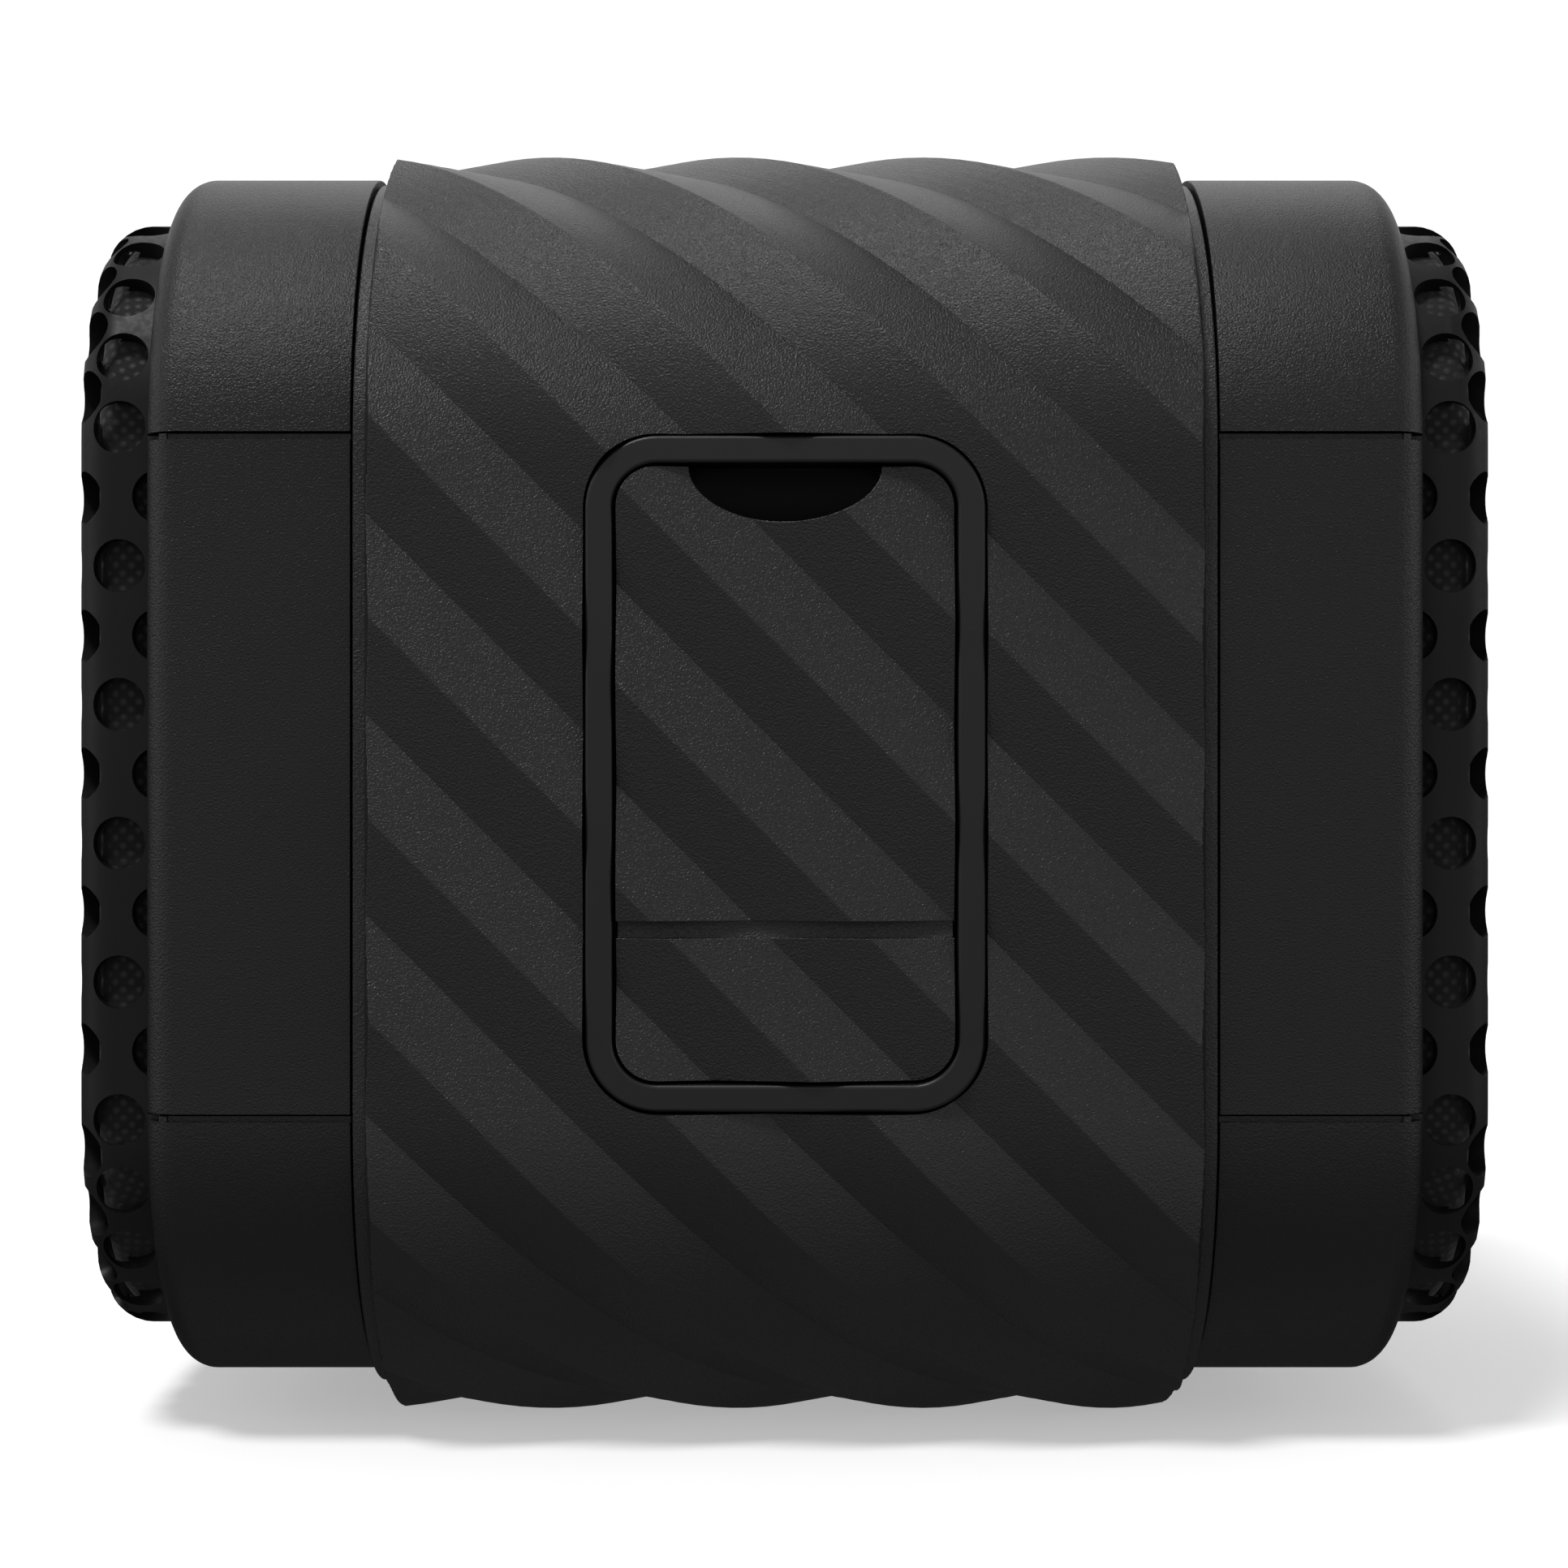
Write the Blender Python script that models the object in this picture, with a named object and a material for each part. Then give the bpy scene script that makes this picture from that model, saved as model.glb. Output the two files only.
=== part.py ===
"""Shower speaker: a boxy portable loudspeaker in a ridged rubber sleeve, one object for each sub-part.

Frame: metres, +X along the speaker, +Z up, -Y the port side, +Y the control side. The origin is at the
centre of the footprint, on the surface that the speaker stands on. Each object is one closed solid.
"""

import math

import bmesh
import bpy

MM = 0.001
GAP = 0.3 * MM  # left between pieces that touch

# Housing: a rounded square section, carried along X
HOUSING_HALF = 45.75 * MM  # half its height, and half its depth
FLAT_HALF = 23.65 * MM  # half the flat width between two corners
HOUSING_END = 45.6 * MM  # X of the housing's end faces
HOUSING_WALL = 2.35 * MM
HOUSING_FILLET = 2.4 * MM
LIP_THICKNESS = 1.7 * MM
SHELL_LENGTH = 15.0 * MM  # from the sleeve's end to the housing's end
SEAM_HEIGHT = 24.2 * MM  # of the seams above and below the housing's middle

# Sleeve: ridges wind round the speaker at 45 degrees, and the whole sleeve hangs low to act as the foot
SLEEVE_DROP = 0.67 * MM
CREST_RISE = 2.385 * MM  # above the housing's surface
RIDGE_DEPTH = 1.25 * MM
RIDGE_COUNT = 24
CREST_LAND = 0.4 * MM
CREST_PHASE = 3.46 * MM  # how far below the middle of the port side a crest crosses X = 0
RIM_RISE = 0.25 * MM
RIM_WIDTH = 0.85 * MM
RIDGE_CHAMFER = 0.6 * MM  # along X, where the ridges run out to the rim
VALLEY_RUN_OUT = 1 - RIDGE_DEPTH / (CREST_RISE - RIM_RISE)  # share of the chamfer above the valleys

# Barrel and baffles
BARREL_WALL = 2.2 * MM
BAFFLE_THICKNESS = 3.0 * MM

# Grille and its cloth
GRILLE_INSET = 3.51 * MM  # from the housing's surface
GRILLE_FLAT_EXTRA = 0.35 * MM  # of its flats, beyond half the housing's
GRILLE_PROUD = 5.55 * MM  # beyond the housing's end
GRILLE_FILLET = 2.9 * MM
GRILLE_SHEET = 1.2 * MM
CLOTH_SETBACK = 1.8 * MM
CLOTH_THICKNESS = 0.6 * MM

# Loudspeaker drivers
BASKET_RADIUS = 27.0 * MM
FLANGE_WIDTH = 4.5 * MM
SURROUND_WIDTH = 4.0 * MM
SURROUND_EDGE = 0.5 * MM
COIL_RADIUS = 8.2 * MM
MAGNET_RADIUS = 17.5 * MM
MAGNET_DEPTH = 12.0 * MM
MAGNET_BEVEL = 1.0 * MM
MAGNET_SEAT = 1.0 * MM  # of the basket, beyond the magnet
BASKET_DEPTH = 14.3 * MM
FLANGE_THICKNESS = 1.2 * MM
GASKET_THICKNESS = 0.6 * MM
CONE_TRAVEL = 1.5 * MM
CONE_SHEET = 0.8 * MM
COIL_SHARE = 0.4  # of the cone's depth, taken by the coil
SCREW_RADIUS = 0.8 * MM
SCREW_HEAD_RADIUS = 1.9 * MM
SCREW_HEAD = 1.0 * MM
SCREW_LENGTH = 4.2 * MM

# Port frame and control frame: the same ring on both sides
FRAME_WIDTH = 27.9 * MM
FRAME_HEIGHT = 47.3 * MM
FRAME_RING = 1.8 * MM
FRAME_RADIUS = 5.0 * MM
FRAME_BELOW_CREST = 0.45 * MM

# Port door: the door and the fixed tab below it, with a fold between them
FLAP_THICKNESS = 2.5 * MM
FLAP_RADIUS = 2.9 * MM
TAB_HEIGHT = 10.0 * MM
FOLD_WIDTH = 1.2 * MM
FOLD_DEPTH = 0.3 * MM  # of the fold's axis below the crests
WEB_DEPTH = 0.8 * MM  # of the middle of the web, from the fold's axis
WEB_THICKNESS = 0.6 * MM
NOTCH_WIDTH = 13.6 * MM
NOTCH_DEPTH = 3.7 * MM

# Sockets behind the door, and the plugs that seal them
SOCKET_HEIGHT = 7.0 * MM  # above the housing's middle
USB_X = -5.0 * MM
AUX_X = 5.6 * MM
WELL_DEPTH = 1.0 * MM
SOCKET_BELOW_WELL = 0.4 * MM
PLUG_FLANGE = 0.9 * MM
PLUG_REACH = 0.7 * MM
PLUG_FIT = 0.45 * MM  # all round, inside its socket
WELL_MARGIN = 2.0 * MM
WELL_RADIUS = 1.5 * MM
USB_WIDTH = 8.94 * MM
USB_HEIGHT = 3.26 * MM
USB_SHEET = 0.3 * MM
USB_MOUTH_DEPTH = 6.3 * MM
TONGUE_WIDTH = 6.67 * MM
TONGUE_HEIGHT = 0.74 * MM
TONGUE_RADIUS = 0.26 * MM
AUX_BORE = 1.8 * MM
AUX_BORE_DEPTH = 7.2 * MM
AUX_BODY = 6.0 * MM
AUX_FLANGE = 0.45 * MM  # of the plug, beyond the bore
SOCKET_DEPTH = 9.0 * MM
ROUND_END = 0.49  # corner radius of an end that looks half round, as a share of the height

# Controls
PANEL_BELOW_FRAME = 0.5 * MM
PANEL_THICKNESS = 1.6 * MM
BUTTON_PROUD = 0.4 * MM  # above the control panel
BUTTON_FIT = 0.3 * MM
BUTTON_LIP = 0.7 * MM
BUTTON_LIP_THICKNESS = 0.7 * MM
BUTTON_TRAVEL = 0.6 * MM
SWITCH_CLEARANCE = 0.2 * MM  # left under a stem when its button is fully pressed
SWITCH_HEIGHT = 1.2 * MM
BOARD_THICKNESS = 1.2 * MM
STEM_RADIUS = 1.5 * MM
STEM_LENGTH = 2.6 * MM
# name, height above the panel's middle, width, height
BUTTONS = (
    ("power_button", 16.6 * MM, 6.4 * MM, 6.4 * MM),
    ("volume_up_button", 8.6 * MM, 12.0 * MM, 5.6 * MM),
    ("play_button", 0.0 * MM, 8.4 * MM, 8.4 * MM),
    ("volume_down_button", -8.6 * MM, 12.0 * MM, 5.6 * MM),
    ("pairing_button", -16.6 * MM, 6.4 * MM, 6.4 * MM),
)
SIDE_X = 7.6 * MM  # of the light pipe and the microphone
LIGHT_PIPE_RADIUS = 0.9 * MM
MICROPHONE_RADIUS = 2.0 * MM
MICROPHONE_HOLE = 0.6 * MM

# Inside
CELL_RADIUS = 9.2 * MM
CELL_LENGTH = 65.0 * MM
CELL_SPACING = 20.0 * MM
CELL_PAIR_Y = 6.0 * MM  # how far the pair sits towards the controls
HOLDER_HEIGHT = 4.0 * MM
HOLDER_GRIP = 2.5 * MM
HOLDER_MARGIN = 2.0 * MM
MAIN_BOARD_SIZE = (30.0 * MM, 1.6 * MM, 46.0 * MM)
WINDOW_RADIUS = 1.0 * MM  # of the barrel's window behind the sockets
CONTROL_BOARD_WIDTH = 20.0 * MM

# How finely curves are cut
CORNER_STEPS = 6
FILLET_STEPS = 3
OUTLINE_STEPS = 4
ROUND_STEPS = 16
SCREW_STEPS = 8
SLEEVE_COLUMNS = 10

# Worked out from the values above
CENTRE_Z = HOUSING_HALF + CREST_RISE + SLEEVE_DROP
SLEEVE_Z = CENTRE_Z - SLEEVE_DROP
CREST_Y = HOUSING_HALF + CREST_RISE
SLEEVE_END = HOUSING_END - SHELL_LENGTH
BARREL_HALF = HOUSING_HALF - HOUSING_WALL - GAP
BAFFLE_FACE = HOUSING_END - LIP_THICKNESS - GAP
BARREL_END = BAFFLE_FACE - BAFFLE_THICKNESS - GAP
GRILLE_HALF = HOUSING_HALF - GRILLE_INSET
GRILLE_FLAT = FLAT_HALF + GRILLE_FLAT_EXTRA
GRILLE_END = HOUSING_END + GRILLE_PROUD
CLOTH_HALF = GRILLE_HALF - GRILLE_SHEET - CLOTH_SETBACK
CLOTH_END = GRILLE_END - GRILLE_SHEET - CLOTH_SETBACK
FLANGE_RADIUS = BASKET_RADIUS + FLANGE_WIDTH
CONE_RADIUS = BASKET_RADIUS - SURROUND_WIDTH
SCREW_CIRCLE = (BASKET_RADIUS + FLANGE_RADIUS) / 2
FLANGE_BACK = BAFFLE_FACE + GAP + GASKET_THICKNESS + GAP
FLANGE_FACE = FLANGE_BACK + FLANGE_THICKNESS
FRAME_Y = CREST_Y - FRAME_BELOW_CREST
FLAP_WIDTH = FRAME_WIDTH - 2 * (FRAME_RING + GAP)
FLAP_HEIGHT = FRAME_HEIGHT - 2 * (FRAME_RING + GAP)
FLAP_Y = CREST_Y - FLAP_THICKNESS
FOLD_Z = CENTRE_Z - FLAP_HEIGHT / 2 + TAB_HEIGHT + FOLD_WIDTH / 2
FOLD_Y = CREST_Y - FOLD_DEPTH
PORT_PANEL_Y = FLAP_Y - GAP
SOCKET_Y = PORT_PANEL_Y - WELL_DEPTH - SOCKET_BELOW_WELL
SOCKET_Z = CENTRE_Z + SOCKET_HEIGHT
MAIN_BOARD_Y = SOCKET_Y - SOCKET_DEPTH - GAP
CONTROL_Y = FRAME_Y - PANEL_BELOW_FRAME
BUTTON_LIP_Y = CONTROL_Y - PANEL_THICKNESS - GAP
STEM_Y = BUTTON_LIP_Y - BUTTON_LIP_THICKNESS - STEM_LENGTH
SWITCH_Y = STEM_Y - BUTTON_TRAVEL - SWITCH_CLEARANCE
CONTROL_BOARD_Y = SWITCH_Y - SWITCH_HEIGHT


def clear_scene():
    for obj in list(bpy.data.objects):
        bpy.data.objects.remove(obj)


def material(name, color, roughness, metallic=0.0):
    made = bpy.data.materials.new(name)
    made.use_nodes = True
    shader = made.node_tree.nodes["Principled BSDF"]
    shader.inputs["Base Color"].default_value = (*color, 1.0)
    shader.inputs["Roughness"].default_value = roughness
    shader.inputs["Metallic"].default_value = metallic
    return made


def add_object(name, mesh_builder, finish=None, origin=(0.0, 0.0, 0.0)):
    """Turns a bmesh into an object with its origin at a point, and its normals facing out."""
    bmesh.ops.recalc_face_normals(mesh_builder, faces=mesh_builder.faces)
    for vertex in mesh_builder.verts:
        vertex.co.x -= origin[0]
        vertex.co.y -= origin[1]
        vertex.co.z -= origin[2]
    mesh = bpy.data.meshes.new(name)
    mesh_builder.to_mesh(mesh)
    mesh_builder.free()
    mesh.shade_smooth()
    mesh.set_sharp_from_angle(angle=math.radians(35))
    obj = bpy.data.objects.new(name, mesh)
    obj.location = origin
    if finish:
        mesh.materials.append(finish)
    bpy.context.scene.collection.objects.link(obj)
    return obj


def helper(name, mesh_builder):
    """An object that only cuts or joins others, and isn't a piece of the speaker."""
    obj = add_object(name, mesh_builder)
    obj.hide_render = True
    obj.display_type = "WIRE"
    return obj


def combine(obj, other, operation):
    modifier = obj.modifiers.new(other.name, "BOOLEAN")
    modifier.operation = operation
    modifier.solver = "EXACT"
    modifier.object = other


# --- Shapes -------------------------------------------------------------------------------------------


def section_path(flat, start=0.0, stop=360.0):
    """(core, normal) pairs round a rounded square, from one polar angle to another, in degrees.

    A point at half-size h is core + (h - flat) * normal, so every size shares the same corner centres.
    """
    path = []
    for quarter in range(math.floor(start / 90), math.ceil(stop / 90)):
        side = ((1, 1), (-1, 1), (-1, -1), (1, -1))[quarter % 4]
        low = max(start, quarter * 90.0)
        high = min(stop, quarter * 90.0 + 90.0)
        steps = max(1, round(CORNER_STEPS * (high - low) / 90))
        for i in range(steps + 1):
            angle = math.radians(low + (high - low) * i / steps)
            path.append(((side[0] * flat, side[1] * flat), (math.cos(angle), math.sin(angle))))
    return path


def sweep(profile, path, flat, closed_profile=True, closed_path=True):
    """Carries an (x, half-size) profile round a section path. Open ends get a flat face."""
    bm = bmesh.new()
    rows = []
    for core, normal in path:
        row = []
        for x, half in profile:
            reach = half - flat
            y = core[0] + reach * normal[0]
            z = CENTRE_Z + core[1] + reach * normal[1]
            row.append(bm.verts.new((x, y, z)))
        rows.append(row)
    spans = len(rows) if closed_path else len(rows) - 1
    edges = len(profile) if closed_profile else len(profile) - 1
    for i in range(spans):
        here = rows[i]
        after = rows[(i + 1) % len(rows)]
        for j in range(edges):
            k = (j + 1) % len(profile)
            bm.faces.new((here[j], after[j], after[k], here[k]))
    if not closed_path:
        bm.faces.new(rows[0])
        bm.faces.new(rows[-1])
    if not closed_profile:
        bm.faces.new([row[0] for row in rows])
        bm.faces.new([row[-1] for row in rows])
    return bm


def quarter_arc(centre_x, centre_half, radius, steps=FILLET_STEPS):
    """Profile points of a rounded outer edge, from the side face round to the end face."""
    points = []
    for i in range(steps + 1):
        angle = math.radians(90.0 * i / steps)
        points.append((centre_x + radius * math.sin(angle), centre_half + radius * math.cos(angle)))
    return points


def mirrored(profile, side):
    return [(side * x, half) for x, half in profile]


def turned(profile, closed=True, steps=ROUND_STEPS):
    """A turned body about the X axis at the housing's middle. Profile points are (x, radius)."""
    bm = bmesh.new()
    rings = []
    for x, radius in profile:
        if radius == 0.0:
            rings.append([bm.verts.new((x, 0.0, CENTRE_Z))] * steps)
            continue
        ring = []
        for i in range(steps):
            angle = 2 * math.pi * i / steps
            ring.append(bm.verts.new((x, radius * math.cos(angle), CENTRE_Z + radius * math.sin(angle))))
        rings.append(ring)
    spans = len(rings) if closed else len(rings) - 1
    for j in range(spans):
        first = rings[j]
        second = rings[(j + 1) % len(rings)]
        for i in range(steps):
            k = (i + 1) % steps
            corners = [first[i], first[k], second[k], second[i]]
            corners = [v for n, v in enumerate(corners) if v not in corners[:n]]
            if len(corners) > 2:
                bm.faces.new(corners)
    return bm


def outline(x0, x1, z0, z1, radii, steps=OUTLINE_STEPS):
    """(x, z) points of a rectangle. radii are of the corners (x1 z1), (x0 z1), (x0 z0) and (x1 z0)."""
    points = []
    corners = ((x1, z1, -1, -1, 0), (x0, z1, 1, -1, 90), (x0, z0, 1, 1, 180), (x1, z0, -1, 1, 270))
    for (x, z, inward_x, inward_z, start), radius in zip(corners, radii):
        if radius == 0.0:
            points.append((x, z))
            continue
        for i in range(steps + 1):
            angle = math.radians(start + 90.0 * i / steps)
            centre_x = x + inward_x * radius
            centre_z = z + inward_z * radius
            points.append((centre_x + radius * math.cos(angle), centre_z + radius * math.sin(angle)))
    return points


def centred_outline(width, height, radius, x=0.0, z=CENTRE_Z, steps=OUTLINE_STEPS):
    return outline(x - width / 2, x + width / 2, z - height / 2, z + height / 2, [radius] * 4, steps)


def ellipse(half_width, half_height, x, z, steps=ROUND_STEPS):
    angles = [2 * math.pi * i / steps for i in range(steps)]
    return [(x + half_width * math.cos(a), z + half_height * math.sin(a)) for a in angles]


def add_prism(bm, points, y0, y1):
    first = [bm.verts.new((x, y0, z)) for x, z in points]
    second = [bm.verts.new((x, y1, z)) for x, z in points]
    bm.faces.new(first)
    bm.faces.new(second)
    for i in range(len(points)):
        k = (i + 1) % len(points)
        bm.faces.new((first[i], first[k], second[k], second[i]))


def prism(points, y0, y1):
    bm = bmesh.new()
    add_prism(bm, points, y0, y1)
    return bm


def stepped_prism(layers):
    """A body of stacked outlines along Y: each layer is (points, y), and all have as many points."""
    bm = bmesh.new()
    rings = [[bm.verts.new((x, y, z)) for x, z in points] for points, y in layers]
    bm.faces.new(rings[0])
    bm.faces.new(rings[-1])
    for first, second in zip(rings, rings[1:]):
        for i in range(len(first)):
            k = (i + 1) % len(first)
            bm.faces.new((first[i], first[k], second[k], second[i]))
    return bm


def ring_prism(outer, inner, y0, y1):
    """A flat ring between two outlines with as many points."""
    bm = bmesh.new()
    loops = []
    for points, y in ((outer, y0), (outer, y1), (inner, y1), (inner, y0)):
        loops.append([bm.verts.new((x, y, z)) for x, z in points])
    for j in range(4):
        first = loops[j]
        second = loops[(j + 1) % 4]
        for i in range(len(outer)):
            k = (i + 1) % len(outer)
            bm.faces.new((first[i], first[k], second[k], second[i]))
    return bm


def block(size, centre):
    x, y, z = centre
    half_x, half_y, half_z = (side / 2 for side in size)
    return prism(outline(x - half_x, x + half_x, z - half_z, z + half_z, [0.0] * 4), y - half_y, y + half_y)


# --- Ridged sleeve ------------------------------------------------------------------------------------


def sleeve_radius():
    """Corner radius of the surface halfway between crests and valleys."""
    return HOUSING_HALF + CREST_RISE - RIDGE_DEPTH / 2 - FLAT_HALF


def ridge_pitch():
    perimeter = 8 * FLAT_HALF + 2 * math.pi * sleeve_radius()
    return perimeter / RIDGE_COUNT


def sleeve_point(distance):
    """(core, normal) at a distance along the section, downwards from the middle of the port side."""
    quarter_length = 2 * FLAT_HALF + math.pi / 2 * sleeve_radius()
    quarter, along = divmod(distance + FLAT_HALF, quarter_length)
    core = (-FLAT_HALF, FLAT_HALF - min(along, 2 * FLAT_HALF))
    angle = max(0.0, along - 2 * FLAT_HALF) / sleeve_radius()
    normal = (-math.cos(angle), -math.sin(angle))
    for _ in range(int(quarter) % 4):
        core = (-core[1], core[0])
        normal = (-normal[1], normal[0])
    return core, normal


def ridge_rows():
    """(share of the pitch, drop below the crest) of the points across one ridge."""
    land = CREST_LAND / 2 / ridge_pitch()
    middle = (land + 0.5) / 2
    return (
        (-land, 0.0),
        (land, 0.0),
        (middle, RIDGE_DEPTH / 2),
        (0.5, RIDGE_DEPTH),
        (1.0 - middle, RIDGE_DEPTH / 2),
    )


def sleeve_half(drop, x):
    """Half-size of the sleeve at a drop below its crests, with the ridges run out towards the rims."""
    crest = HOUSING_HALF + CREST_RISE
    rim = HOUSING_HALF + RIM_RISE
    run_out_start = SLEEVE_END - RIM_WIDTH - RIDGE_CHAMFER
    share = max(0.0, abs(x) - run_out_start) / RIDGE_CHAMFER
    return max(rim, min(crest - drop, crest - (crest - rim) * share))


def sleeve_body():
    run_out = SLEEVE_END - RIM_WIDTH - RIDGE_CHAMFER
    ridged = [run_out * (2 * i / SLEEVE_COLUMNS - 1) for i in range(SLEEVE_COLUMNS + 1)]
    ends = [run_out + RIDGE_CHAMFER * (1 - VALLEY_RUN_OUT), run_out + RIDGE_CHAMFER, SLEEVE_END]
    columns = [-x for x in reversed(ends)] + ridged + ends
    pitch = ridge_pitch()
    bm = bmesh.new()
    rings = []
    for x in columns:
        ring = []
        for ridge in range(RIDGE_COUNT):
            for share, drop in ridge_rows():
                core, normal = sleeve_point(CREST_PHASE + x + (ridge + share) * pitch)
                reach = sleeve_half(drop, x) - FLAT_HALF
                y = core[0] + reach * normal[0]
                z = SLEEVE_Z + core[1] + reach * normal[1]
                ring.append(bm.verts.new((x, y, z)))
        rings.append(ring)
    for first, second in zip(rings, rings[1:]):
        for i in range(len(first)):
            k = (i + 1) % len(first)
            bm.faces.new((first[i], second[i], second[k], first[k]))
    bm.faces.new(rings[0])
    bm.faces.new(rings[-1])
    return bm


def ridged_block():
    """A slab with the sleeve's ridges on its port side, to cut the door and the tab from."""
    pitch = ridge_pitch()
    crest_sum = CENTRE_Z - SLEEVE_DROP - CREST_PHASE  # x + z on one crest line
    reach = 2 * FRAME_HEIGHT
    spans = math.ceil(reach / pitch)
    points = []
    for ridge in range(-spans, spans):
        for share, drop in ridge_rows():
            points.append((crest_sum + (ridge + share) * pitch, -CREST_Y + drop))
    points.append((points[-1][0], -FLAP_Y))
    points.append((points[0][0], -FLAP_Y))
    bm = bmesh.new()
    ends = []
    for along in (-reach, reach):
        end = []
        for total, y in points:
            x = (total - CENTRE_Z + along) / 2
            end.append(bm.verts.new((x, y, total - x)))
        ends.append(end)
    bm.faces.new(ends[0])
    bm.faces.new(ends[1])
    for i in range(len(points)):
        k = (i + 1) % len(points)
        bm.faces.new((ends[0][i], ends[0][k], ends[1][k], ends[1][i]))
    return bm


# --- Groups of sub-parts ------------------------------------------------------------------------------


def build_housing(finishes):
    half = HOUSING_HALF
    inner = half - HOUSING_WALL
    start = SLEEVE_END + GAP
    profile = [(start, inner), (start, half)]
    profile += quarter_arc(HOUSING_END - HOUSING_FILLET, half - HOUSING_FILLET, HOUSING_FILLET)
    profile += [(HOUSING_END, GRILLE_HALF + GAP), (HOUSING_END - LIP_THICKNESS, GRILLE_HALF + GAP)]
    profile += [(HOUSING_END - LIP_THICKNESS, inner)]
    radius = half - FLAT_HALF
    above = math.degrees(math.asin((SEAM_HEIGHT + GAP / 2 - FLAT_HALF) / radius))
    below = math.degrees(math.asin((SEAM_HEIGHT - GAP / 2 - FLAT_HALF) / radius))
    shells = (
        ("top_shell", above, 180 - above),
        ("back_panel", 180 - below, 180 + below),
        ("bottom_shell", 180 + above, 360 - above),
        ("front_panel", -below, below),
    )
    for name, side in (("left", -1), ("right", 1)):
        for shell, first, last in shells:
            path = section_path(FLAT_HALF, first, last)
            body = sweep(mirrored(profile, side), path, FLAT_HALF, closed_path=False)
            add_object(f"{name}_{shell}", body, finishes["housing"])


def build_sleeve(finishes):
    sleeve = add_object("center_sleeve", sleeve_body(), finishes["sleeve"])
    inner = HOUSING_HALF - HOUSING_WALL
    long = 2 * SLEEVE_END
    profile = [(-long, inner), (long, inner)]
    bore = sweep(profile, section_path(FLAT_HALF), FLAT_HALF, closed_profile=False)
    combine(sleeve, helper("sleeve_bore", bore), "DIFFERENCE")
    for name, side in (("port", -1), ("control", 1)):
        window = centred_outline(FRAME_WIDTH + 2 * GAP, FRAME_HEIGHT + 2 * GAP, FRAME_RADIUS + GAP)
        cutter = prism(window, side * HOUSING_HALF / 2, side * HOUSING_HALF * 1.5)
        combine(sleeve, helper(f"{name}_window", cutter), "DIFFERENCE")


def build_barrel(finishes):
    inner = BARREL_HALF - BARREL_WALL
    profile = [(-BARREL_END, inner), (-BARREL_END, BARREL_HALF),
               (BARREL_END, BARREL_HALF), (BARREL_END, inner)]
    tube = sweep(profile, section_path(FLAT_HALF), FLAT_HALF)
    barrel = add_object("chassis_barrel", tube, finishes["chassis"])
    low = SOCKET_Z - AUX_BODY
    high = SOCKET_Z + AUX_BODY
    socket_window = outline(USB_X - USB_WIDTH, AUX_X + AUX_BODY, low, high, [WINDOW_RADIUS] * 4, 2)
    control_window = centred_outline(CONTROL_BOARD_WIDTH, FLAP_HEIGHT - 2 * FRAME_RING, FRAME_RING, steps=2)
    for name, points, side in (("socket", socket_window, -1), ("stem", control_window, 1)):
        cutter = prism(points, side * HOUSING_HALF / 2, side * HOUSING_HALF * 1.5)
        combine(barrel, helper(f"{name}_window", cutter), "DIFFERENCE")


def build_frame(name, side, finishes):
    outer = centred_outline(FRAME_WIDTH, FRAME_HEIGHT, FRAME_RADIUS)
    width = FRAME_WIDTH - 2 * FRAME_RING
    height = FRAME_HEIGHT - 2 * FRAME_RING
    inner = centred_outline(width, height, FRAME_RADIUS - FRAME_RING)
    back = side * (BARREL_HALF + GAP)
    add_object(name, ring_prism(outer, inner, side * FRAME_Y, back), finishes["frame"])


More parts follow.
